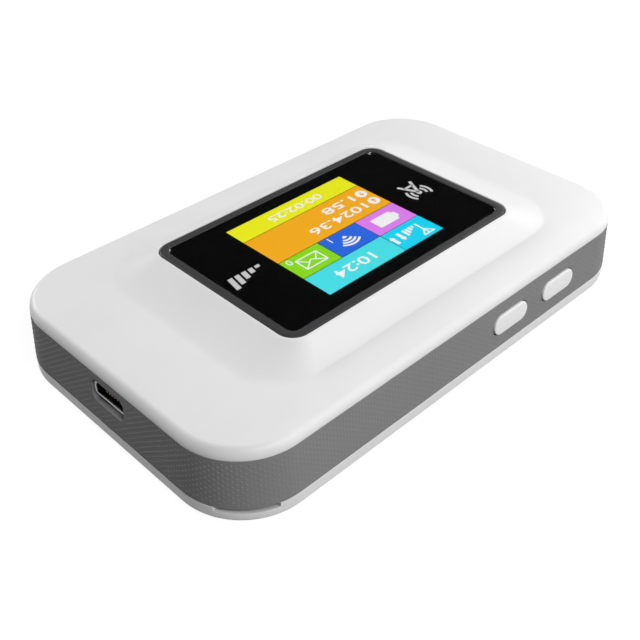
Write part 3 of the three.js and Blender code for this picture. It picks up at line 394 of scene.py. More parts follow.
# %% Make the floor
FLOOR_SIZE = 3000.0  # millimetres
FLOOR_DROP = 0.02  # how far the floor lies under the object
FLOOR_PAINT = 0.15  # the floor's own brightness, for the light it throws back
FLOOR_GLOW = (0.90, 1.0)  # white that the camera and reflections see, near and far
GLOW_REACH = (0.15, 0.9)  # metres from the object where the white starts and ends to rise
floor = put_mesh("floor", np.array([[-1, -1, 0], [1, -1, 0], [1, 1, 0], [-1, 1, 0]])
                 * [FLOOR_SIZE, FLOOR_SIZE, 1] + [0, 0, -FLOOR_DROP], [[0, 1, 2, 3]])
floor_paint = bpy.data.materials.new("floor_paint")
floor_paint.use_nodes = True
tree = floor_paint.node_tree
tree.nodes.remove(tree.nodes["Principled BSDF"])
shown = math_node(tree, "MAXIMUM", *mirror_ray(tree))
grain = add_node(tree, "TexNoise", {"Scale": 400.0}).outputs["Fac"]
matt = add_node(tree, "BsdfDiffuse", {
    "Color": spread(tree, grain, FLOOR_PAINT * 0.97, FLOOR_PAINT * 1.03, 0.0, 1.0)})
away = add_node(tree, "VectorMath", {0: add_node(tree, "TexCoord").outputs["Object"]},
                operation="LENGTH")
whiter = spread(tree, away.outputs["Value"], *FLOOR_GLOW, *GLOW_REACH, "SMOOTHSTEP")
glow = add_node(tree, "Emission", {"Strength": mix_float(tree, shown, 0.0, whiter)})
both = add_node(tree, "AddShader", {0: matt.outputs[0], 1: glow.outputs[0]})
link(tree, both.outputs[0], tree.nodes["Material Output"].inputs["Surface"])
floor.data.materials.append(floor_paint)
print("floor", floor.dimensions[:])

# %% [markdown]
# Five soft lamps stand round the table. Two in front of the keys' side light the top and that
# side, one behind reaches the far slopes, and two at the right make the top a little brighter
# towards that end. The socket's side is left in soft shade.

# %% Make the lamps
def add_lamp(name, place, power, width, height):
    """An oblong area lamp at a place in millimetres, turned to the object's middle."""
    data = bpy.data.lights.new(name, "AREA")
    data.shape = "RECTANGLE"
    data.energy, data.size, data.size_y = power, width * MM, height * MM
    lamp = add_object(name, data)
    lamp.location = Vector(place) * MM
    lamp.rotation_euler = (-lamp.location).to_track_quat("-Z", "Y").to_euler()


add_lamp("front_lamp", (-120, -450, 450), 1.97, 220, 220)
add_lamp("keys_lamp", (150, -500, 300), 0.94, 220, 220)
add_lamp("right_lamp", (500, 60, 330), 0.95, 240, 240)
add_lamp("low_lamp", (340, -110, 160), 0.42, 200, 200)
add_lamp("rear_lamp", (-120, 650, 260), 2.74, 300, 240)
bpy.context.scene.view_settings.view_transform = "Standard"
print("lamps ready")

# %% [markdown]
# ## Finishes
# Every finish is built from nodes that read the piece's own coordinates, in metres. Real plastic
# is never one even colour: it has a slow drift of tone, a fine grain from the mould and a gloss
# that changes a little from place to place. A few small helpers add these three to any shader.

# %% Helpers for finishes
def start_finish(label, slot, roughness, metallic=0.0, specular=0.5):
    """A material whose shader's constants are set on its own sockets, and its record slot."""
    finish = bpy.data.materials.new(label)
    finish["slot"] = slot
    finish.use_nodes = True
    shader = finish.node_tree.nodes["Principled BSDF"]
    shader.inputs["Roughness"].default_value = roughness
    shader.inputs["Metallic"].default_value = metallic
    shader.inputs["Specular IOR Level"].default_value = specular
    return finish, finish.node_tree, shader


def own_place(tree):
    """The point's own coordinates on the piece."""
    return add_node(tree, "TexCoord").outputs["Object"]


def noise(tree, per_mm, detail=2.0, stretch=(1, 1, 1)):
    """Cloudy noise with about that many lumps to the millimetre, stretched along the axes."""
    place = add_node(tree, "Mapping", {"Scale": stretch, "Vector": own_place(tree)}).outputs[0]
    return add_node(tree, "TexNoise", {"Scale": per_mm / MM, "Detail": detail,
                                       "Vector": place}).outputs["Fac"]


def blend_colours(tree, factor, *colours):
    """The first colour where the factor is 0, the second where it is 1. Either may be a socket."""
    a, b = [c if isinstance(c, bpy.types.NodeSocket) else (*c, 1) for c in colours]
    return add_node(tree, "Mix", {"Factor": factor, 6: a, 7: b}, data_type="RGBA").outputs[2]


def relief(tree, shader, height, depth_mm, strength=1.0):
    """Tilts the shading as if the height, from 0 to 1, stood that many millimetres proud."""
    bump = add_node(tree, "Bump", {"Strength": strength, "Distance": depth_mm * MM,
                                   "Height": height})
    link(tree, bump.outputs[0], shader.inputs["Normal"])


def moulded(label, slot, dark, light, roughness, grain_mm=6.0, grain_depth=0.004, specular=0.5):
    """A moulded plastic: tone drifting between two colours over about 15 mm, a fine even grain,
    and a gloss that varies by a tenth."""
    finish, tree, shader = start_finish(label, slot, roughness, specular=specular)
    drift = noise(tree, 0.07, 3.0)
    speckle = noise(tree, grain_mm * 0.5)
    tone = math_node(tree, "ADD", math_node(tree, "MULTIPLY", drift, 0.75),
                     math_node(tree, "MULTIPLY", speckle, 0.25))
    link(tree, blend_colours(tree, spread(tree, tone, 0, 1), dark, light),
         shader.inputs["Base Color"])
    link(tree, spread(tree, noise(tree, 0.6), roughness * 0.92, roughness * 1.08),
         shader.inputs["Roughness"])
    relief(tree, shader, noise(tree, grain_mm), grain_depth)
    return finish


print("finish helpers ready")

# %% [markdown]
# The covers are white ABS with a satin mould finish. The keys are the same plastic, polished a
# little more. The band is matt grey with a coarser grain, and the display's ring is dark grey.

# %% Make the plastic finishes
white_plastic = moulded("white_plastic", "white_plastic", (0.80, 0.795, 0.80), (0.84, 0.835, 0.84),
                        0.48)
key_plastic = moulded("key_plastic", "key_plastic", (0.87, 0.87, 0.875), (0.905, 0.905, 0.91), 0.42)
band_plastic = moulded("band_plastic", "grey_plastic", (0.243, 0.243, 0.246),
                       (0.263, 0.263, 0.266), 0.8, grain_mm=9.0, grain_depth=0.008, specular=0.1)
# The dots are the band's grey plastic painted a little lighter: a painted highlight for the light
# that the dots catch.
dot_plastic_painted_highlight = moulded("dot_plastic_painted_highlight", "grey_plastic", (0.262, 0.262, 0.265), (0.29, 0.29, 0.293),
                      0.75, specular=0.12)
ring_plastic = moulded("ring_plastic", "bezel_plastic", (0.034, 0.034, 0.036),
                       (0.040, 0.040, 0.042), 0.5, specular=0.3)
chassis_plastic = moulded("chassis_plastic", "chassis_plastic", (0.020, 0.020, 0.022),
                          (0.028, 0.028, 0.030), 0.62, grain_mm=4.0, grain_depth=0.012)
black_plastic = moulded("black_plastic", "black_plastic", (0.010, 0.010, 0.011),
                        (0.015, 0.015, 0.016), 0.55)
print("plastics", len(bpy.data.materials))

# %% [markdown]
# The metal pieces are small. Stamped steel keeps faint rolling lines, so its noise is stretched
# along one axis. Contacts are gold plated, and the antennas are a copper foil with a soft sheen.

# %% Make the metal finishes
LINE_DEPTH = 0.001  # relief of the rolling lines, in millimetres


def metal(label, slot, dark, light, roughness, stretch=(1, 1, 1)):
    """A bare metal with rolling lines: noise drawn out along an axis sets tone and relief."""
    finish, tree, shader = start_finish(label, slot, roughness, metallic=1.0)
    lines = noise(tree, 3.0, 3.0, stretch)
    link(tree, blend_colours(tree, spread(tree, lines, 0, 1), dark, light),
         shader.inputs["Base Color"])
    link(tree, spread(tree, noise(tree, 0.5), roughness * 0.85, roughness * 1.2),
         shader.inputs["Roughness"])
    relief(tree, shader, lines, LINE_DEPTH, 0.6)
    return finish


steel = metal("steel", "steel", (0.50, 0.505, 0.51), (0.62, 0.625, 0.63), 0.3, (0.08, 1, 1))
gold = metal("gold_plate", "gold_plate", (0.72, 0.50, 0.20), (0.83, 0.60, 0.28), 0.24)
copper_foil = metal("copper_foil", "foil", (0.55, 0.31, 0.18), (0.66, 0.38, 0.23), 0.42,
                    (1, 1, 0.15))
print("metals ready")

# %% [markdown]
# The circuit board is glass-fibre under green lacquer. Copper tracks show through it as slightly
# lighter lines, here the edges of a square-metric Voronoi pattern, and vias as small pale dots.

# %% Make the circuit board's finish
board_lacquer, tree, shader = start_finish("board_lacquer", "circuit_board", 0.32)
cells = add_node(tree, "TexVoronoi", {"Scale": 0.45 / MM, "Vector": own_place(tree)},
                 feature="F1", distance="CHEBYCHEV")
tracks = spread(tree, math_node(tree, "PINGPONG", cells.outputs["Distance"], 0.12),
                0, 1, 0.05, 0.08)
vias = add_node(tree, "TexVoronoi", {"Scale": 0.5 / MM, "Vector": own_place(tree)})
rings = spread(tree, vias.outputs["Distance"], 1, 0, 0.12, 0.16)
lacquer = blend_colours(tree, tracks, (0.010, 0.075, 0.030), (0.020, 0.125, 0.050))
link(tree, blend_colours(tree, rings, lacquer, (0.45, 0.36, 0.16)), shader.inputs["Base Color"])
relief(tree, shader, tracks, 0.02)
print("board finish ready")

# %% [markdown]
# The battery is wrapped in a dark film with a fine weave-like emboss and a plain pale panel. The
# backlight is a milky sheet.

# %% Make the battery and backlight finishes
battery_wrap = moulded("battery_wrap", "battery_wrap", (0.040, 0.043, 0.050),
                       (0.052, 0.056, 0.064), 0.42, grain_mm=3.0, grain_depth=0.01)
battery_panel = moulded("battery_panel", "battery_wrap", (0.42, 0.43, 0.45), (0.47, 0.48, 0.50),
                        0.5, grain_mm=5.0)
backlight_film = moulded("backlight_film", "backlight_film", (0.78, 0.78, 0.76),
                         (0.82, 0.82, 0.80), 0.35)
print("wraps ready")

# %% [markdown]
# ## Top cover
# The top cover is one moulding. From the seam its side rises in a quarter ellipse to a shoulder
# that is very slightly crowned. Then a slope, steeper on the long sides than on the short ones,
# climbs to the display's ring, so the display stands about 3 mm above the rim. Inside, a tongue
# drops behind the band, and a pocket holds the ring and the glass. All this is one closed profile
# carried round: its outline changes on the way from the body's to the ring's, and it comes back
# under the ceiling to the seam. The tongue runs all the way round. Here it and the bosses'
# shoulders reach down to the bosses' feet, 5.9 mm lower than in the exact solid, so they pass
# through the board's edge, the keys' flanges and the socket.

# %% Build the top cover
SHOULDER_INSET = 1.4
SHOULDER_Z = 13.46
CROWN_RISE = 0.45
RAMP_REACH = (8.4, 5.0)  # how far the slope's foot lies from its top, along X and along Y
RAMP_CORNER = 9.0
RAMP_EASE = 1.3
RING_LAND = 0.3
RING_GAP = 0.1
CEILING_Z = 12.40
LEDGE_Z = 15.40
TONGUE_OUT = 1.6
TONGUE_IN = 2.4
cover_seam = band_high[2] + SEAM / 2
cover_top = cover_high[2]


def shoulder_curve(steps=18):
    """A quarter ellipse: inset = width (1 - cos a), height = seam + rise sin a."""
    a = np.linspace(0, math.pi / 2, steps)
    return np.stack([SHOULDER_INSET * (1 - np.cos(a)),
                     cover_seam + (SHOULDER_Z - cover_seam) * np.sin(a)], axis=1)


def between(first, last, share, z):
    """Rows (half x, half y, radius, height): outlines part of the way from first to last."""
    share = np.asarray(share)[:, None]
    return np.column_stack([(1 - share) * first + share * np.asarray(last), z])


def climb(steps=22):
    """The crown and the slope: height = rise t (2 - t) over the shoulder, then
    height = rise t^1.3 from the slope's foot to its top."""
    rim = np.array(HEAD) - SHOULDER_INSET
    plateau = np.array(BEZEL) + RING_GAP + RING_LAND
    foot = np.array([plateau[0] + RAMP_REACH[0], plateau[1] + RAMP_REACH[1], RAMP_CORNER])
    t = np.linspace(0, 1, steps)
    crown = between(rim, foot, t[1:-1], SHOULDER_Z + CROWN_RISE * t[1:-1] * (2 - t[1:-1]))
    foot_z = SHOULDER_Z + CROWN_RISE
    slope = between(foot, plateau, t, foot_z + (cover_top - foot_z) * t ** RAMP_EASE)
    return np.vstack([crown, slope])


LIP_RADIUS = 0.08
OPENING_HALF = 23.47  # half the display opening's length
OPENING_GAP = 0.15
seam_lip = np.array([[0.45, cover_seam], [0.04, cover_seam], [0.01, cover_seam + 0.01]])
pocket = np.array([[-RING_GAP - LIP_RADIUS, cover_top], [-RING_GAP - 0.02, cover_top - 0.02],
                   [-RING_GAP, cover_top - LIP_RADIUS], [-RING_GAP, LEDGE_Z]])
panel_low, panel_high = span("lcd_panel")
opening = (OPENING_HALF, max(-panel_low[1], panel_high[1]) + OPENING_GAP, 0.6)
inside = np.array([[TONGUE_IN, CEILING_Z], [TONGUE_IN, cover_low[2]], [TONGUE_OUT, cover_low[2]],
                   [TONGUE_OUT, cover_seam]])
top_sections = np.vstack([
    sections_on(HEAD, seam_lip), sections_on(HEAD, shoulder_curve()[1:]),
    climb(), sections_on(BEZEL, pocket),
    [(*opening, LEDGE_Z), (*opening, CEILING_Z)], sections_on(HEAD, inside)])
top_cover = stack("top_shell", top_sections, closed=True)
print("top shell", len(top_cover.data.polygons), "faces")

# %% [markdown]
# Four bosses under the cover take the screws. Each is a tube with a wider shoulder that holds the
# board down. They are turned shapes: a profile of radius and height carried round an axis.

# %% Add the screw bosses
def turned(name, profile, centre, steps=32, closed=True):
    """A profile of (radius, height) carried round an upright axis through the centre."""
    radius, z = np.asarray(profile, float).T
    a = np.linspace(0, 2 * math.pi, steps, endpoint=False)
    x = centre[0] + radius[:, None] * np.cos(a)
    y = centre[1] + radius[:, None] * np.sin(a)
    rings = np.stack([x, y, np.broadcast_to(z[:, None], x.shape)], axis=2)
    return outward(loft(name, rings, closed))


BOSS_BASE = 5.0
boss_profile = [(1.0, BOSS_BASE), (2.4, BOSS_BASE), (2.4, cover_low[2]), (3.1, cover_low[2]),
                (3.1, CEILING_Z + 0.4), (1.0, CEILING_Z + 0.4)]
screw_places = [place_of(f"screw_{i}")[:2] for i in (1, 2, 3, 4)]
bosses = [turned(f"boss_{i}", boss_profile, place) for i, place in enumerate(screw_places)]
fit(shade(carve(top_cover, bosses, "UNION")), white_plastic, "housing", "top_cover")
print("top cover", len(top_cover.data.polygons), "faces")

# %% [markdown]
# ## Side band
# The band is a plain wall with a slight draft. Its openings are cut with solid tools: a stadium
# for each key and the socket's outline, with room below the socket, where the plug's shell goes.
# A cut with the exact solver keeps the edges clean, and a small radius then goes on them.

# %% Build the band and cut its openings
BAND_WALL = 1.5
EDGE_RADIUS = 0.12
KEY_ROOM = 0.2
KEY_SIZE = np.array([8.9, 3.55])
KEY_Z = 7.2


def stadium(length, height, steps=16):
    """Two half circles of half the height, set apart so that the whole has that length."""
    r = height / 2
    a = np.linspace(-math.pi / 2, math.pi / 2, steps)
    right = np.stack([length / 2 - r + r * np.cos(a), r * np.sin(a)], axis=1)
    return np.vstack([right, -right])


def band_side(z, outline_half):
    """Half width of the band at a height: its foot's, less the draft's share."""
    share = (z - band_low[2]) / (band_high[2] - band_low[2])
    return outline_half - DRAFT * share


def key_opening(node):
    """A cutter for one key: its outline grown by its room, through the band's wall."""
    x, size = place_of(node)[0], KEY_SIZE + 2 * KEY_ROOM
    return prism(node + "_cut", stadium(*size), -FOOT[1] - 1, -FOOT[1] + 3 * BAND_WALL,
                 lambda u, v, w: (x + u, w, KEY_Z + v))
wall = soften([(0, band_low[2]), (DRAFT, band_high[2]), (DRAFT + BAND_WALL, band_high[2]),
               (BAND_WALL, band_low[2])], [EDGE_RADIUS, 0.05, EDGE_RADIUS, EDGE_RADIUS])
band = stack("side_wall", sections_on(FOOT, wall), closed=True)
print("band wall", len(band.data.polygons), "faces")

# %% [markdown]
# The socket's outline is wider at the top than at the bottom on many phones, but here its two
# upper corners are cut off, and the opening in the band follows it with a margin. The sill under
# it is lower, with its own cut corners.

# %% Cut the openings
usb_low, usb_high = span("usb_shell")
usb_middle, usb_size = (usb_low + usb_high) / 2, usb_high - usb_low
USB_CHAMFER = 0.75
USB_MARGIN = 0.3
USB_SILL = 0.8


def socket_outline(margin, sill=0.0, radius=0.25):
    """The socket's mouth in (across, up), grown by a margin and by a sill at the bottom."""
    half, top = usb_size[1] / 2 + margin, usb_size[2] / 2 + margin
    low = -top - sill
    cut = sill if sill else 0.2
    corners = [(-half + cut, low), (half - cut, low), (half, low + cut), (half, top - USB_CHAMFER),
               (half - USB_CHAMFER, top), (-half + USB_CHAMFER, top), (-half, top - USB_CHAMFER),
               (-half, low + cut)]
    return soften(corners, radius)


usb_cut = prism("usb_cut", socket_outline(USB_MARGIN, USB_SILL, 0.15), -FOOT[0] - 1,
                -FOOT[0] + 3 * BAND_WALL,
                lambda u, v, w: (w, usb_middle[1] + u, usb_middle[2] + v))
carve(band, [usb_cut, key_opening("power_key"), key_opening("function_key")])
fit(shade(round_edges(band, 0.1)), band_plastic, "housing", "side_band")
print("band", len(band.data.polygons), "faces")

# %% [markdown]
# The band's grip texture is thousands of tiny raised dots, in columns 0.65 mm apart, with every
# second column shifted by half a step. A bump texture could fake it, but real dots catch the
# light at the edge of the corner as they do on the product. One small dome is worked out once and
# placed at every point of the pattern by adding arrays. Dots near an opening are left out.

# %% Set the dots on the band
DOT_COLUMN = 0.65
DOT_STEP = 0.97
DOT_RADIUS = 0.22
DOT_HEIGHT = 0.03
DOT_SIDES = 8
KEEP_OFF = 0.45


def walk_round(outline, distances):
    """Points and outward directions at distances along an outline: each is read between the
    points of a dense copy, by its length from the start."""
    dense = rounded_outline(*outline, steps=300)
    ring = np.vstack([dense, dense[:1]])
    length = np.concatenate([[0], np.cumsum(np.linalg.norm(np.diff(ring, axis=0), axis=1))])
    at = np.stack([np.interp(distances, length, ring[:, k]) for k in (0, 1)], axis=1)
    ahead = np.stack([np.interp(distances + 0.05, length, ring[:, k], period=length[-1])
                      for k in (0, 1)], axis=1)
    behind = np.stack([np.interp(distances - 0.05, length, ring[:, k], period=length[-1])
                       for k in (0, 1)], axis=1)
    way = ahead - behind
    way /= np.linalg.norm(way, axis=1, keepdims=True)
    return at, np.stack([way[:, 1], -way[:, 0]], axis=1), length[-1]


middle_outline = (FOOT[0] - DRAFT / 2, FOOT[1] - DRAFT / 2, CORNER - DRAFT / 2)
around = walk_round(middle_outline, np.zeros(1))[2]
columns = 2 * round(around / DOT_COLUMN / 2)
rows = int((band_high[2] - band_low[2] - 0.5) / DOT_STEP)
column, row = [g.ravel() for g in np.meshgrid(np.arange(columns), np.arange(rows))]
spots, outs, _ = walk_round(middle_outline, column * around / columns)
middle_z = (band_low[2] + band_high[2]) / 2
spot_z = middle_z + (row - (rows - 1) / 2 + 0.5 * (column % 2) - 0.25) * DOT_STEP
lean = DRAFT * (middle_z - spot_z) / (band_high[2] - band_low[2])
centres = np.column_stack([spots + outs * lean[:, None], spot_z])


def stadium_gap(u, v, size):
    """Distance from a point to a stadium's edge, along its own two directions."""
    run = size[0] / 2 - size[1] / 2
    return np.hypot(np.maximum(np.abs(u) - run, 0), v) - size[1] / 2


clear = np.ones(len(centres), bool)
for node in ("power_key", "function_key"):
    gap = stadium_gap(centres[:, 0] - place_of(node)[0], centres[:, 2] - KEY_Z, KEY_SIZE)
    clear &= (gap > KEY_ROOM + KEEP_OFF) | (centres[:, 1] > 0)
across = np.abs(centres[:, 1] - usb_middle[1]) - usb_size[1] / 2 - USB_MARGIN
upward = np.abs(centres[:, 2] - usb_middle[2] + USB_SILL / 2) - usb_size[2] / 2 - USB_MARGIN
upward -= USB_SILL / 2
clear &= (np.maximum(across, upward) > KEEP_OFF) | (centres[:, 0] > 0)
centres, outs = centres[clear], outs[clear]
print("dots", len(centres), "of", len(clear))

# %% Make the dots' mesh
a = np.linspace(0, 2 * math.pi, DOT_SIDES, endpoint=False)
dome = np.vstack([
    np.column_stack([radius * np.cos(a), radius * np.sin(a), np.full(DOT_SIDES, height)])
    for radius, height in ((DOT_RADIUS, -0.03), (DOT_RADIUS * 0.72, DOT_HEIGHT * 0.75))]
    + [np.array([[0, 0, DOT_HEIGHT]])])
side_way = np.column_stack([-outs[:, 1], outs[:, 0], np.zeros(len(outs))])
out_way = np.column_stack([outs, np.zeros(len(outs))])
up_way = np.array([0, 0, 1.0])
dot_points = (centres[:, None] + dome[None, :, :1] * side_way[:, None]
              + dome[None, :, 1:2] * up_way + dome[None, :, 2:] * out_way[:, None])
ring = np.arange(DOT_SIDES)
after = (ring + 1) % DOT_SIDES
sides = np.column_stack([ring, after, after + DOT_SIDES, ring + DOT_SIDES])
tips = np.column_stack([ring + DOT_SIDES, after + DOT_SIDES, np.full(DOT_SIDES, 2 * DOT_SIDES)])
start = (np.arange(len(centres)) * len(dome))[:, None, None]
dot_faces = ((sides + start).reshape(-1, 4).tolist() + (tips + start).reshape(-1, 3).tolist()
             + (ring[::-1] + start[:, 0]).tolist())
dots = put_mesh("band_dots", dot_points.reshape(-1, 3), dot_faces)
dots.data.polygons.foreach_set("use_smooth", np.ones(len(dots.data.polygons), bool))
fit(dots, dot_plastic_painted_highlight, "housing")
print("dot mesh", len(dots.data.polygons), "faces")

# %% [markdown]
# ## Keys
# Each key is a white stadium-shaped button that stands a little proud of the band. Its face is
# slightly crowned and its rim rounded. Behind the band a wider flange keeps it in. The key is a
# stack of stadiums, each with an inset and a depth behind the band's face, and since the band
# leans in by its draft, the depth is counted from the leaning face.

# %% Build the keys
KEY_PROUD = 0.28
KEY_RIM = 0.22
KEY_CROWN = 0.06
KEY_FLANGE = 0.8


def key_profile():
    """Rows (inset, depth) from the middle of the face to the back of the flange: a crown that
    falls as the square of the way out, a quarter circle for the rim, the side, the flange."""
    out = np.linspace(0.06, 1, 7)
    flat = KEY_SIZE[1] / 2 - KEY_RIM
    crown = np.stack([KEY_SIZE[1] / 2 - flat * out, KEY_CROWN * (out ** 2 - 1)], axis=1)
    a = np.linspace(0, math.pi / 2, 6)[1:]
    rim = np.stack([KEY_RIM * (1 - np.sin(a)), KEY_RIM * (1 - np.cos(a))], axis=1)
    depth = BAND_WALL + USB_MARGIN + KEY_PROUD
    back = [(0, depth), (-KEY_FLANGE + 0.1, depth), (-KEY_FLANGE, depth + 0.1),
            (-KEY_FLANGE, depth + KEY_FLANGE - 0.1), (-KEY_FLANGE + 0.1, depth + KEY_FLANGE)]
    return np.vstack([crown, rim, back]) - [0, KEY_PROUD]


def leaning(x, z, u, v, depth):
    """A point of a key: u along the body, v up, depth behind the band's leaning face."""
    return [x + u, -band_side(z + v, FOOT[1]) + depth, z + v]


PUSHER_HALF = (1.2, 0.7)  # half width and half height of the key's pusher
PUSHER_LENGTH = 1.1


def box_outline(u0, v0, u1, v1):
    return np.array([(u0, v0), (u1, v0), (u1, v1), (u0, v1)])


def make_key(node):
    """The key's rings, joined with the pusher that reaches its switch's plunger."""
    x, tip = place_of(node)[0], span(node)[1][1]
    rings = [np.stack(leaning(x, KEY_Z, *stadium(*(KEY_SIZE - 2 * inset)).T, depth), axis=1)
             for inset, depth in key_profile()]
    key = outward(loft(node + "_cap", np.stack(rings)))
    plunger = place_of(node.replace("key", "plunger"))
    across, up = PUSHER_HALF
    pusher = prism(node + "_pusher", box_outline(-across, -up, across, up), tip - PUSHER_LENGTH,
                   tip, lambda u, v, w: (x + u, w, plunger[2] + v))
    carve(key, [pusher], "UNION")
    fit(shade(key), key_plastic, node, node)
    print(node, len(key.data.polygons), "faces")


for node in ("power_key", "function_key"):
    make_key(node)

# %% [markdown]
# ## Charging socket
# The socket's shell is folded from sheet steel. Its mouth flares a little, to guide the plug in,
# and has a rolled edge. The flared edge keeps the steel's colour: further in, the sheet's colour
# is painted near black, a painted shade for the socket's dark inside, fading in along its depth.
# A black tongue stands in the middle with five gold contacts on its lower face.

# %% Build the socket's shell
USB_SKIN = 0.3
FLARE = 0.15  # how far the mouth opens outwards, over a depth
FLARE_DEPTH = 0.3


def socket_ring(x, margin):
    """The socket's outline at a place along X, with a margin (negative inside the sheet)."""
    u, v = socket_outline(margin, radius=max(0.3 + margin * 0.6, 0.12)).T
    return np.stack([np.full(len(u), x), usb_middle[1] + u, usb_middle[2] + v], axis=1)


# Painted shade: from here inwards the steel's colour turns near black, for the shade deep inside
# the socket.
SHADE_FROM = usb_low[0] + 0.03  # the shell's inside darkens from here inwards
SHADE_RUN = 0.15
socket_steel_painted_shade, tree, shader = start_finish("socket_steel_painted_shade", "steel", 0.34, metallic=1.0)
depth = add_node(tree, "SeparateXYZ", {0: own_place(tree)})
painted_shade_depth = spread(tree, depth.outputs["X"], 0, 1, SHADE_FROM * MM, (SHADE_FROM + SHADE_RUN) * MM)
rolled = noise(tree, 3.0, 3.0, (0.1, 1, 1))
bright = blend_colours(tree, spread(tree, rolled, 0, 1), (0.34, 0.34, 0.345), (0.42, 0.42, 0.425))
link(tree, blend_colours(tree, painted_shade_depth, bright, (0.018, 0.018, 0.018)),
     shader.inputs["Base Color"])
relief(tree, shader, rolled, LINE_DEPTH, 0.6)
front, rear = usb_low[0], usb_high[0]
sheet = soften([(rear, 0), (front + FLARE_DEPTH, 0), (front, FLARE), (front, FLARE - USB_SKIN),
                (front + FLARE_DEPTH, -USB_SKIN), (rear, -USB_SKIN)],
               [0.05, 0.2, 0.13, 0.13, 0.2, 0.05])
socket_shell = outward(loft("socket_shell", np.stack([socket_ring(*p) for p in sheet]), True))
fit(shade(socket_shell), socket_steel_painted_shade, "housing", "usb_shell")
print("socket shell", len(socket_shell.data.polygons), "faces")

# ## Back cover
# The back cover is a shallow tray. Its edge on the underside is rounded, its rim rises to the
# lower seam, and ten hooks inside snap into the chassis. A fingernail notch is cut through the
# rim's upper edge, round the corner between the socket and the keys. Its floor falls away
# inwards, so a nail finds hold behind a lip, and the inside shows dark behind it.

# %% Build the tray
REAR_EDGE = 1.0
REAR_WALL = 1.2
REAR_FLOOR = 1.2
REAR_TOP = band_low[2] - SEAM
FILLET = 0.4


def tray_profile():
    """Up the rounded outer edge, over the rim, and down the inner wall to the floor."""
    a = np.linspace(0, math.pi / 2, 10)
    outer = np.stack([REAR_EDGE * (1 - np.sin(a)), REAR_EDGE * (1 - np.cos(a))], axis=1)
    rim = [(0, REAR_TOP - 0.1), (0.03, REAR_TOP - 0.03), (0.1, REAR_TOP),
           (REAR_WALL - 0.1, REAR_TOP), (REAR_WALL, REAR_TOP - 0.1)]
    inner = np.stack([REAR_WALL + FILLET * (1 - np.cos(a)),
                      REAR_FLOOR + FILLET * (1 - np.sin(a))], axis=1)
    return np.vstack([outer, rim, inner])


tray = stack("rear_tray", sections_on(FOOT, tray_profile()))
NOTCH_DEPTH = 1.35  # a little more than the wall
NOTCH_HEIGHT = 0.62
NOTCH_FALL = 0.6  # how much lower the notch's floor lies at its back than at its lip
NOTCH_SPAN = (207, 253)  # degrees round the corner's arc
NOTCH_PAST = 2  # how far the cutter runs on outwards and upwards


def notch_rings(steps=33):
    """The cutter's section, four points (radius, height), carried round the corner's centre:
    x = radius cos a, y = radius sin a. It runs past the tray outwards and upwards."""
    lip = REAR_TOP - NOTCH_HEIGHT
    back, far = CORNER - NOTCH_DEPTH, CORNER + NOTCH_PAST
    radius, z = np.array([(back, lip - NOTCH_FALL),
                          (far, lip + NOTCH_PAST * NOTCH_FALL / NOTCH_DEPTH),
                          (far, REAR_TOP + NOTCH_PAST), (back, REAR_TOP + NOTCH_PAST)]).T
    a = np.radians(np.linspace(*NOTCH_SPAN, steps))[:, None]
    x, y = radius * np.cos(a) - FOOT[0] + CORNER, radius * np.sin(a) - FOOT[1] + CORNER
    return np.stack([x, y, np.broadcast_to(z, x.shape)], axis=2)


carve(tray, [outward(loft("notch_cut", notch_rings()))])
round_edges(tray, 0.1, angle=60)
print("tray", len(tray.data.polygons), "faces")

# %% [markdown]
# A hook is a thin upright tongue with a half-round bead on its outer face, near its tip. One
# profile, run along the wall, makes all ten, and a union joins them to the tray.

# %% Add the hooks
HOOK_LENGTH = 5.0
HOOK_HALF = 0.4
HOOK_TOP = span("back_cover")[1][2]
HOOK_BEAD = 0.3
HOOK_INSET = 3.2
HOOK_X = (-26.0, 0.0, 26.0)  # middles of the hooks on the long sides
HOOK_Y = (-10.0, 10.0)  # and on the short ones


def hook_profile():
    """Rows (outwards, up): a tongue with a bead whose middle lies two bead radii under its tip."""
    a = np.linspace(-math.pi / 2, math.pi / 2, 7)
    bead = np.stack([HOOK_HALF + HOOK_BEAD * np.cos(a),
                     HOOK_TOP - 2 * HOOK_BEAD + HOOK_BEAD * np.sin(a)], axis=1)
    return np.vstack([[(-HOOK_HALF - 0.15, REAR_FLOOR - 0.3), (HOOK_HALF, REAR_FLOOR - 0.3)], bead,
                      [(HOOK_HALF - 0.2, HOOK_TOP), (-HOOK_HALF, HOOK_TOP)]])


def hook(name, middle, outward_way):
    """The hook's profile run along its wall, about a middle in plan."""
    out = np.array(outward_way)
    along = np.array([-out[1], out[0]])
    return prism(name, hook_profile(), -HOOK_LENGTH / 2, HOOK_LENGTH / 2,
                 lambda u, v, w: (middle[0] + u * out[0] + w * along[0],
                                  middle[1] + u * out[1] + w * along[1], v))


hooks = []
for side in (-1, 1):
    for x in HOOK_X:
        hooks.append(hook(f"hook_{len(hooks)}", (x, side * (FOOT[1] - HOOK_INSET)), (0, side)))
    for y in HOOK_Y:
        hooks.append(hook(f"hook_{len(hooks)}", (side * (FOOT[0] - HOOK_INSET), y), (side, 0)))
carve(tray, hooks, "UNION")
fit(shade(tray), white_plastic, "back_cover", "back_cover")
print("back cover with", len(hooks), "hooks,", len(tray.data.polygons), "faces")

# %% [markdown]
# ## Display ring and glass
# A dark grey ring frames the display, flush with the top of the climb, with rounded edges. The
# glass sits a little lower inside it. It is a clear slab with a fine polished edge: the black
# border that one sees is ink printed behind it, so the depth between the glass's face and the
# ink is real and shows at the edges.

# %% Build the ring and the glass
RING_WIDTH = 1.53
ring_profile = soften([(0, bezel_low[2]), (0, bezel_high[2]), (RING_WIDTH, bezel_high[2]),
                       (RING_WIDTH, bezel_low[2])], [0.1, 0.42, 0.2, 0.1], steps=6)
ring = stack("display_ring", sections_on(BEZEL, ring_profile), closed=True)
fit(shade(ring), ring_plastic, "housing", "display_bezel")

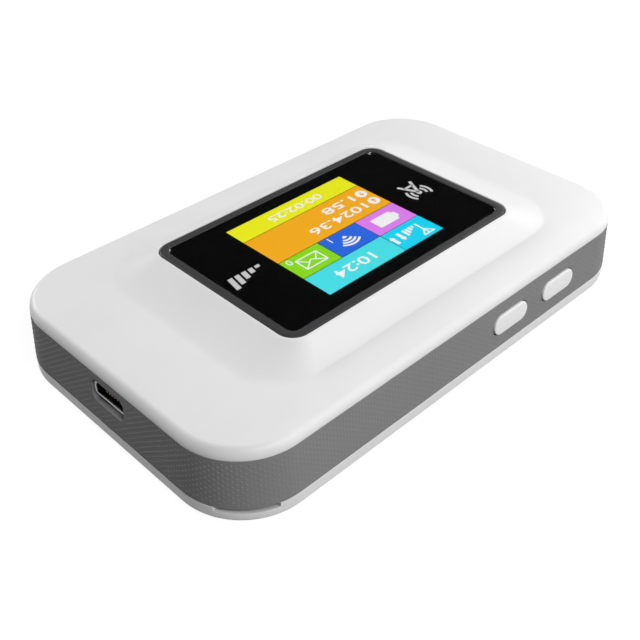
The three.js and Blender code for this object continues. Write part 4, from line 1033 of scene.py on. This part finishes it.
GLASS = (window_high[0], window_high[1], BEZEL[2] - RING_WIDTH - 0.1)
GLASS_EDGE = 0.05
t = np.linspace(0, math.pi / 2, 5)
inset, drop = GLASS_EDGE * (1 - np.cos(t)), GLASS_EDGE * (1 - np.sin(t))
upper = np.stack([inset, window_high[2] - drop], axis=1)
lower = np.stack([drop, window_low[2] + inset], axis=1)
glass = stack("glass_slab", sections_on(GLASS, np.vstack([lower, upper])))
window_glass, tree, shader = start_finish("window_glass", "window_glass", 0.02)
shader.inputs["Transmission Weight"].default_value = 1.0
shader.inputs["IOR"].default_value = 1.5
shader.inputs["Base Color"].default_value = (0.98, 0.99, 0.99, 1)
smear = spread(tree, noise(tree, 0.05, 4.0), 0.012, 0.035)
link(tree, smear, shader.inputs["Roughness"])
fit(shade(glass), window_glass, "housing", "display_window")
print("glass", glass.dimensions[:])

# %% [markdown]
# ## Printed border
# The ink is a thin black sheet right behind the glass, with a rectangular opening for the
# picture. Its outer edge turns up between glass and ring, as the black seal does there, so no
# light creeps in at the glass's edge. The picture's size and place come from the panel under it:
# its border is left out, and so is the strip on one side where the panel's driver chip sits.

# %% Build the printed border
PANEL_BORDER = 0.5
DRIVER_STRIP = 4.0
picture_low = panel_low[:2] + [PANEL_BORDER + DRIVER_STRIP, PANEL_BORDER]
picture_high = panel_high[:2] - PANEL_BORDER
picture_middle = (picture_low + picture_high) / 2
picture_size = picture_high - picture_low
ink_top = window_low[2] - 0.008
ink_low = ink_top - 0.012


def rectangle_ring(low, high, count):
    """Points of a rectangle matched to those of a rounded outline: each of the outline's points
    goes to the corner of its own quarter."""
    corners = [high, (low[0], high[1]), low, (high[0], low[1])]
    return np.repeat(np.array(corners), count // 4, axis=0)


SEAL = (0.02, 0.07)  # inner and outer face of the black seal, outside the glass's edge
seal_in, seal_out = [rounded_outline(*(np.array(GLASS) + margin)) for margin in SEAL]
seal_top = window_high[2] - GLASS_EDGE - 0.02
inner = rectangle_ring(picture_low, picture_high, len(seal_in))
rings = [at_height(outline, z)
         for outline, z in ((seal_out, ink_low), (seal_out, seal_top), (seal_in, seal_top),
                            (seal_in, ink_top), (inner, ink_top), (inner, ink_low))]
border = outward(loft("printed_border", np.stack(rings), True))
black_ink, tree, shader = start_finish("black_ink", "black_plastic", 0.9, specular=0.0)
link(tree, blend_colours(tree, spread(tree, noise(tree, 0.3), 0, 1), (0.0024, 0.0024, 0.0027),
                         (0.0032, 0.0032, 0.0035)), shader.inputs["Base Color"])
fit(border, black_ink, "housing")
print("picture", picture_size.round(2), "mm")

# %% [markdown]
# ## Picture
# The picture is a grid of coloured tiles, read from the keys' far side, so it stands upside down
# for whoever looks from the keys. Each tile is a thin lit plate with a fine grid of picture
# points. Tile places are given as shares of the picture, from its reader's upper left.

# %% Helpers for the picture
PICTURE_Z = panel_high[2]


def reader_place(u, v, z):
    """From millimetres right and up for the reader, about the picture's middle, to the frame."""
    return picture_middle[0] - u, picture_middle[1] - v, z


def plates(name, outlines, low, high, finish):
    """Thin flat plates with the given outlines, all in one piece, between two heights."""
    points, faces, count = [], [], 0
    for outline in outlines:
        rings = np.stack([np.stack(reader_place(*np.asarray(outline, float).T,
                                                np.full(len(outline), z)), axis=1)
                          for z in (low, high)])
        n = len(outline)
        points.append(rings.reshape(-1, 3))
        sides = grid_faces(2, n, False) + count
        faces += sides.tolist() + [list(range(count, count + n))[::-1],
                                   list(range(count + n, count + 2 * n))]
        count += 2 * n
    piece = outward(put_mesh(name, np.vstack(points), faces))
    return fit(piece, finish, "housing", slot="lcd_glass")


def linear(*levels):
    """Light levels from 0 to 255, as a screen's data has them, as shares of full light."""
    c = np.array(levels) / 255
    return tuple(np.where(c <= 0.04045, c / 12.92, ((c + 0.055) / 1.055) ** 2.4))


PICTURE_POINT = picture_size[0] / 128


def lit(label, levels, strength=1.18, points=True):
    """A lit colour: each picture point is a shade darker along its left and lower edges."""
    finish, tree, shader = start_finish(label, "lcd_glass", 0.35, specular=0.2)
    shader.inputs["Base Color"].default_value = (0.01, 0.01, 0.01, 1)
    colour = np.array(linear(*levels))
    place = add_node(tree, "SeparateXYZ", {0: own_place(tree)}).outputs
    shares = [math_node(tree, "ABSOLUTE", math_node(tree, "SINE", math_node(
        tree, "MULTIPLY", math_node(tree, "DIVIDE", place[axis], PICTURE_POINT * MM), math.pi)))
        for axis in ("X", "Y")]
    edge = math_node(tree, "MINIMUM", *shares)
    mixed = blend_colours(tree, spread(tree, edge, 0, 1, 0.1, 0.5),
                          colour * (0.90 if points else 1.0), colour)
    glowing = blend_colours(tree, spread(tree, noise(tree, 0.04), 0, 0.5), mixed, colour * 0.93)
    link(tree, glowing, shader.inputs["Emission Color"])
    shader.inputs["Emission Strength"].default_value = strength
    return finish

print("picture point", round(PICTURE_POINT, 3), "mm")

# %% Build the tiles
TILE_GAP = 0.14
COLUMNS = (0.0, 0.35, 0.68, 1.0)
ROWS = (0.0, 0.235, 0.475, 0.815, 1.0)
TILES = {
    "signal": (0, 1, 0, 1, (10, 210, 240)), "clock": (1, 3, 0, 1, (70, 220, 228)),
    "battery": (0, 1, 1, 2, (220, 125, 235)), "radio": (1, 2, 1, 2, (35, 100, 220)),
    "mail": (2, 3, 1, 2, (135, 215, 20)), "data": (0, 3, 2, 3, (243, 170, 20)),
    "timer": (0, 3, 3, 4, (233, 233, 20))}


def tile_corners(left, right, top, bottom):
    """The tile's outline in the reader's millimetres, less half the gap on inner sides."""
    gap, rim = TILE_GAP / 2, 0.03
    u0 = (COLUMNS[left] - 0.5) * picture_size[0] + (gap if left > 0 else rim)
    u1 = (COLUMNS[right] - 0.5) * picture_size[0] - (gap if right < 3 else rim)
    v1 = (0.5 - ROWS[top]) * picture_size[1] - (gap if top > 0 else rim)
    v0 = (0.5 - ROWS[bottom]) * picture_size[1] + (gap if bottom < 4 else rim)
    return box_outline(u0, v0, u1, v1)


tile_middle = {}
for name, (*sides, levels) in TILES.items():
    corners = tile_corners(*sides)
    tile_middle[name] = corners.mean(0)
    plates(f"tile_{name}", [corners], PICTURE_Z + 0.004, PICTURE_Z + 0.014,
           lit(f"lit_{name}", levels))
print("tile middles", {k: v.round(1).tolist() for k, v in tile_middle.items()})

# %% [markdown]
# ## Icons and digits
# The icons are drawn from a few outlines: bars, rings cut to an arc, discs. Letters are left out,
# so the tiles show plain figures: a clock, two counters and a timer.

# %% Helpers for the icons
ICON_LOW = PICTURE_Z + 0.018
ICON_HIGH = PICTURE_Z + 0.026
white_light = lit("lit_white", (250, 250, 250), 1.05, points=False)



def arc_band(middle, inner, outer, start, end, steps=20):
    """Part of a flat ring between two radii and two angles in degrees."""
    a = np.radians(np.linspace(start, end, steps))
    way = np.stack([np.cos(a), np.sin(a)], axis=1)
    return np.vstack([outer * way, inner * way[::-1]]) + middle


def bar(a, b, width):
    """A straight stroke of even width from a to b."""
    a, b = np.array(a, float), np.array(b, float)
    way = (b - a) / np.linalg.norm(b - a)
    side = np.array([-way[1], way[0]]) * width / 2
    return np.array([a + side, a - side, b - side, b + side])


def disc(middle, radius, steps=32):
    a = np.linspace(0, 2 * math.pi, steps, endpoint=False)
    return np.stack([np.cos(a), np.sin(a)], axis=1) * radius + middle


def icon(name, outlines, finish=None, shift=(0, 0), low=ICON_LOW, high=ICON_HIGH):
    return plates(f"icon_{name}", [np.asarray(o) + shift for o in outlines], low, high,
                  finish or white_light)


def digits(name, text, height, middle, weight=0.0, width=None):
    """Figures of a height, about a middle in the reader's millimetres. The curve is made a mesh
    first, then scaled, turned and set in place as an array of points."""
    curve = bpy.data.curves.new(name, "FONT")
    curve.body, curve.size, curve.offset, curve.extrude = text, 1.0, weight, 0.5
    source = add_object(name + "_text", curve)
    graph = bpy.context.evaluated_depsgraph_get()
    mesh = bpy.data.meshes.new_from_object(source.evaluated_get(graph))
    bpy.data.objects.remove(source)
    flat = np.empty(len(mesh.vertices) * 3)
    mesh.vertices.foreach_get("co", flat)
    flat = flat.reshape(-1, 3)
    low_corner, high_corner = flat.min(0), flat.max(0)
    size = high_corner - low_corner
    scale = np.array([(width / size[0] if width else height / size[1]), height / size[1]])
    u, v = ((flat[:, :2] - (low_corner + high_corner)[:2] / 2) * scale + middle).T
    z = np.where(flat[:, 2] > (low_corner + high_corner)[2] / 2, ICON_HIGH, ICON_LOW)
    placed = np.stack(reader_place(u, v, z), axis=1) * MM
    mesh.vertices.foreach_set("co", placed.ravel())
    mesh.update()
    return fit(outward(add_object(name, mesh)), white_light, "housing", slot="lcd_glass")


print("icon helpers ready")

def strokes(middle, width, *lines):
    """Bars of one width about a middle, along lines given as (u0, v0, u1, v1)."""
    return [bar(middle + np.array(line[:2]), middle + np.array(line[2:]), width)
            for line in lines]


at = tile_middle["signal"] + [-2.2, 0.1]
aerial = strokes(at, 0.28, (-1.3, 2.0, 1.3, 2.0), (-1.3, 2.0, 0, 0.5), (1.3, 2.0, 0, 0.5))
aerial += strokes(at, 0.32, (0, 2.0, 0, -1.6))
levels = [box_outline(0.7 + 0.75 * k, -1.6, 1.2 + 0.75 * k, -1.0 + 0.42 * k) + at
          for k in range(4)]
arrows = [np.array(outline) + at for outline in (
    [(4.2, -0.1), (4.9, -0.1), (4.9, -1.6), (4.2, -1.6)],
    [(3.9, -0.1), (5.2, -0.1), (4.55, 0.8)],
    [(6.0, 0.8), (6.7, 0.8), (6.7, -0.7), (6.0, -0.7)],
    [(5.7, -0.7), (7.0, -0.7), (6.35, -1.6)])]
icon("aerial", aerial + levels + arrows)
cell = soften(box_outline(-2.1, -1.45, 2.7, 1.45), 0.35)
icon("battery", [cell, box_outline(-2.7, -0.75, -2.1, 0.75)], shift=tile_middle["battery"])
at = tile_middle["radio"] + [0, -1.5]
icon("radio", [arc_band(at, inner, outer, 47, 133)
               for inner, outer in ((2.72, 3.14), (1.98, 2.40), (1.24, 1.66), (0.05, 0.78))])
at = tile_middle["mail"] + [-0.3, 0]
envelope = strokes(at, 0.26, (-2.3, 1.5, 2.3, 1.5), (-2.3, -1.5, 2.3, -1.5),
                   (-2.3, -1.5, -2.3, 1.5), (2.3, -1.5, 2.3, 1.5))
folds = strokes(at, 0.24, (-2.2, 1.4, 0, -0.3), (2.2, 1.4, 0, -0.3),
                (-2.2, -1.4, -0.75, 0.2), (2.2, -1.4, 0.75, 0.2))
icon("mail", envelope + folds)
at = tile_middle["data"] + [-12.05, 0]
icon("counters", [disc(at + [0, 1.55], 1.15), disc(at + [0, -1.65], 1.15)])
orange_light = lit("lit_orange_mark", TILES["data"][4], 1.05, points=False)
up_shaft, down_shaft = strokes(at, 0.3, (0, 2.1, 0, 1.3), (0, -2.2, 0, -1.4))
up_tip, down_tip = [np.array(tip) + at for tip in (
    [(-0.55, 1.45), (0, 0.85), (0.55, 1.45)], [(0.55, -1.55), (0, -0.95), (-0.55, -1.55)])]
icon("counter_arrows", [up_shaft, up_tip, down_shaft, down_tip],
     orange_light, low=ICON_HIGH + 0.002, high=ICON_HIGH + 0.006)
print("icons drawn")

# %% Set the figures
digits("figures_clock", "10:24", 2.15, tile_middle["clock"] + [0.15, 0], 0.01, width=8.6)
digits("figures_radio", "1", 1.5, tile_middle["radio"] + [2.6, -1.9])
digits("figures_mail", "0", 1.5, tile_middle["mail"] + [3.0, -1.9])
digits("figures_counter_1", "1024.36", 2.0, tile_middle["data"] + [-3.2, 1.55], 0.012,
       width=13.4)
digits("figures_counter_2", "1.58", 2.0, tile_middle["data"] + [-6.2, -1.65], 0.012, width=7.4)
digits("figures_timer", "00:02:25", 1.75, tile_middle["timer"] + [-0.3, 0.1], 0.005, width=12.4)

# %% [markdown]
# ## Marks beside the picture
# Two white marks are printed on the glass, one on each side of the picture. They are plain
# pictograms: a mast that sends waves, and a row of rising bars, both leaning a little. Ink on top
# of the glass catches the lamps directly, so it reads much paler than ink behind it would.

# %% Print the marks
MARK_LOW = window_high[2] - 0.004
MARK_HIGH = window_high[2] + 0.010
white_ink = moulded("white_ink", "white_plastic", (0.54, 0.54, 0.54), (0.60, 0.60, 0.60), 0.6)


def slant(outline, lean=0.2):
    """Shifts each point to the right by a share of its height."""
    return np.asarray(outline, float) @ np.array([[1, 0], [lean, 1]])


mast_place = np.array([-19.6, 0.35])
mast = [bar((-1.7, -2.1), (0, 1.5), 0.62), bar((1.7, -2.1), (0, 1.5), 0.62),
        bar((-1.15, -0.9), (1.15, -0.9), 0.52), disc((0, 1.7), 0.58)]
mast += [arc_band((0, 1.7), r, r + 0.52, a - 38, a + 38) for r in (1.15, 2.1) for a in (0, 180)]
bars_place = np.array([20.1, 0.35])
bars = [slant(box_outline(-3.3 + 1.4 * k, -1.6, -2.35 + 1.4 * k, -0.9 + 0.62 * k))
        for k in range(5)]
for name, place, outlines in (("mark_mast", mast_place, mast), ("mark_bars", bars_place, bars)):
    mark = plates(name, [np.asarray(o) + place for o in outlines], MARK_LOW, MARK_HIGH, white_ink)
print("marks printed")

# %% [markdown]
# ## Inner pieces
# With the back cover off, the chassis shows: a black moulding with the battery's well, the card
# holder behind its window, the contacts and four screws. Their solids already have the right
# shape, but every edge is knife sharp and every face is cut in triangles. A copy of such a solid
# is merged, its triangles are joined into whole faces, and a small radius goes on its edges.

# %% Refine the inner solids
def refine(node, radius, finish, angle=40.0, segments=2):
    """A copy of a solid with whole faces and rounded edges, which stands for the solid."""
    source = frame["nodes"][node]
    piece = add_object(node + "_fine", source.data.copy())
    work = bmesh.new()
    work.from_mesh(piece.data)
    bmesh.ops.remove_doubles(work, verts=work.verts, dist=1e-6)
    bmesh.ops.dissolve_limit(work, angle_limit=math.radians(0.5), verts=work.verts[:],
                             edges=work.edges[:])
    work.to_mesh(piece.data)
    work.free()
    if "sharp_face" in piece.data.attributes:
        piece.data.attributes.remove(piece.data.attributes["sharp_face"])
    if radius:
        round_edges(piece, radius, segments, angle)
    return fit(shade(piece), finish, source["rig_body"], node)


INNER = [
    ("chassis", 0.2, chassis_plastic), ("window_tape", 0, black_plastic),
    ("lcd_backlight", 0.1, backlight_film), ("lcd_holder", 0.12, chassis_plastic),
    ("lcd_flex_plug", 0.08, black_plastic), ("usb_tongue", 0.08, black_plastic),
    ("reset_switch", 0.12, steel), ("reset_key", 0.12, black_plastic),
    ("processor_shield", 0.2, steel), ("radio_shield", 0.2, steel),
    ("sim_base", 0.1, black_plastic), ("sim_cover", 0.07, steel),
    ("battery_connector", 0.12, black_plastic), ("main_board", 0.05, board_lacquer)]
INNER += [(f"{name}_plunger", 0.1, black_plastic) for name in ("power", "function")]
INNER += [(f"{name}_switch", 0.1, steel) for name in ("power", "function")]
INNER += [(f"{name}_chip", 0.08, black_plastic)
          for name in ("processor", "memory", "radio", "amplifier", "power")]
INNER += [(f"usb_contact_{i}", 0.03, gold) for i in range(1, 6)]
INNER += [(f"battery_{name}_{i}", 0.05, gold)
          for name in ("terminal", "spring") for i in (1, 2, 3)]
for node, radius, finish in INNER:
    refine(node, radius, finish)
print("refined", len(INNER), "solids")

# %% Finish the solids that stay as they are
def refinish(node, finish):
    """Gives a loaded solid a finish in its own slot, and leaves its shape alone."""
    solid = frame["nodes"][node]
    solid.data.materials.clear()
    solid.data.materials.append(finish)


for node in ("lcd_flex", "main_antenna", "second_antenna", "wireless_antenna"):
    refinish(node, copper_foil)
refinish("lcd_panel", lit("panel_off", (20, 22, 26), 0.2, points=False))
print("refinished")

# %% [markdown]
# ## Screws
# The screws have a domed head with a cross recess. The head is a turned profile, and two bars cut
# the cross. The thread is a fine helix; only its ridges show between the chassis and the boss, so
# rings close enough stand for it.

# %% Turn the screws
def screw_profile(low, high, head=0.9, head_radius=1.7, shank=0.9):
    """Rows (radius, height) from the head's middle up to the tip, with ridges on the shank."""
    a = np.linspace(0, math.pi / 2, 8)
    dome = np.stack([head_radius * np.sin(a), low + 0.28 * (1 - np.cos(a))], axis=1)
    dome[0, 0] = 0.02
    rim = [(head_radius, low + head - 0.05), (head_radius - 0.05, low + head), (shank, low + head)]
    z = np.linspace(low + head + 0.2, high - 0.5, 49)
    thread = np.stack([shank - 0.09 + 0.09 * np.cos(np.arange(49) * math.pi / 2), z], axis=1)
    return np.vstack([dome, rim, thread, [(shank * 0.5, high), (0.02, high)]])


CROSS_ARMS = ((1.15, 0.2), (0.2, 1.15))  # half sizes of the recess's two bars
CROSS_DEPTH = 0.5
for i in (1, 2, 3, 4):
    low, high = span(f"screw_{i}")
    x, y, _ = place_of(f"screw_{i}")
    screw = turned(f"screw_{i}_turned", screw_profile(low[2], high[2]), (x, y), closed=False)
    cross = [prism(f"cross_{k}", box_outline(-a, -b, a, b), low[2] - 1, low[2] + CROSS_DEPTH,
                   lambda u, v, w: (x + u, y + v, w))
             for k, (a, b) in enumerate(CROSS_ARMS)]
    fit(shade(carve(screw, cross)), steel, "housing", f"screw_{i}")
print("screws turned")

# %% [markdown]
# ## Battery
# The battery is a flat pouch cell in a printed wrap, with a black cap that carries three gold
# contacts. Its long edges are rounded and its ends slightly so. A plain pale panel and the usual
# plus and minus signs beside the contacts are its only print.

# %% Build the battery
def cell_ring(x, inset, low, high, radius):
    """A rounded rectangle across the cell's length at a place along X, moved in by an inset."""
    half = (high - low)[1:] / 2 - inset
    u, v = rounded_outline(half[0], half[1], max(radius - inset, 0.1), steps=10).T
    middle = (low + high)[1:] / 2
    return np.stack([np.full(len(u), x), middle[0] + u, middle[1] + v], axis=1)


def cell_body(name, node, end_radius, radius=1.6):
    """The ring carried along X, drawn in by a quarter circle at each end."""
    low, high = span(node)
    a = np.linspace(0, math.pi / 2, 6)
    inset = end_radius * (1 - np.sin(a))
    along = end_radius * (1 - np.cos(a))
    x = np.concatenate([low[0] + along, (high[0] - along)[::-1]])
    inset = np.concatenate([inset, inset[::-1]])
    rings = np.stack([cell_ring(p, q, low, high, radius) for p, q in zip(x, inset)])
    return outward(loft(name, rings))


cell_low, cell_high = span("battery_cell")
cell_piece = cell_body("battery_pouch", "battery_cell", 0.5)
fit(shade(cell_piece), battery_wrap, "battery", "battery_cell")
cap_high = span("battery_cap")[1]
cap = cell_body("battery_end", "battery_cap", 0.25)
RECESS_ROOM = 0.1
recesses = []
for i in (1, 2, 3):
    low, high = span(f"battery_terminal_{i}")
    room = box_outline(*(low[1:] - RECESS_ROOM), *(high[1:] + RECESS_ROOM))
    recesses.append(prism(f"recess_{i}", room, low[0] - 0.05, cap_high[0] + 1,
                          lambda u, v, w: (w, u, v)))
fit(shade(round_edges(carve(cap, recesses), 0.08)), black_plastic, "battery", "battery_cap")
print("battery", (cell_high - cell_low).round(1))

# %% Print the battery's panel and signs
def battery_print(name, outlines, z_low, z_high, finish):
    """Thin plates on the battery's lower face, which looks down."""
    rings = [np.stack([at_height(o, z) for z in (z_low, z_high)]) for o in outlines]
    pieces = [outward(loft(f"{name}_{k}", r)) for k, r in enumerate(rings)]
    main = pieces[0]
    if len(pieces) > 1:
        carve(main, pieces[1:], "UNION")
    main.name = name
    return fit(main, finish, "battery")


PRINT_LOW, PRINT_HIGH = cell_low[2] - 0.03, cell_low[2] + 0.02
SIGN_LONG, SIGN_THIN = 1.2, 0.25
middle = (cell_low + cell_high)[:2] / 2
panel = rounded_outline(24.0, 16.0, 2.0, steps=8) + middle - [2.0, 0]
battery_print("battery_panel", [panel], PRINT_LOW, PRINT_HIGH, battery_panel)
along, across = [box_outline(-a, -b, a, b)
                 for a, b in ((SIGN_LONG, SIGN_THIN), (SIGN_THIN, SIGN_LONG))]
sign_x = cell_high[0] - 2.6
plus = np.array([sign_x, place_of("battery_terminal_3")[1] + 4])
minus = np.array([sign_x, place_of("battery_terminal_1")[1] - 4])
battery_print("battery_plus", [along + plus, across + plus], PRINT_LOW, PRINT_HIGH, battery_panel)
battery_print("battery_minus", [across + minus], PRINT_LOW, PRINT_HIGH, battery_panel)
print("battery printed")
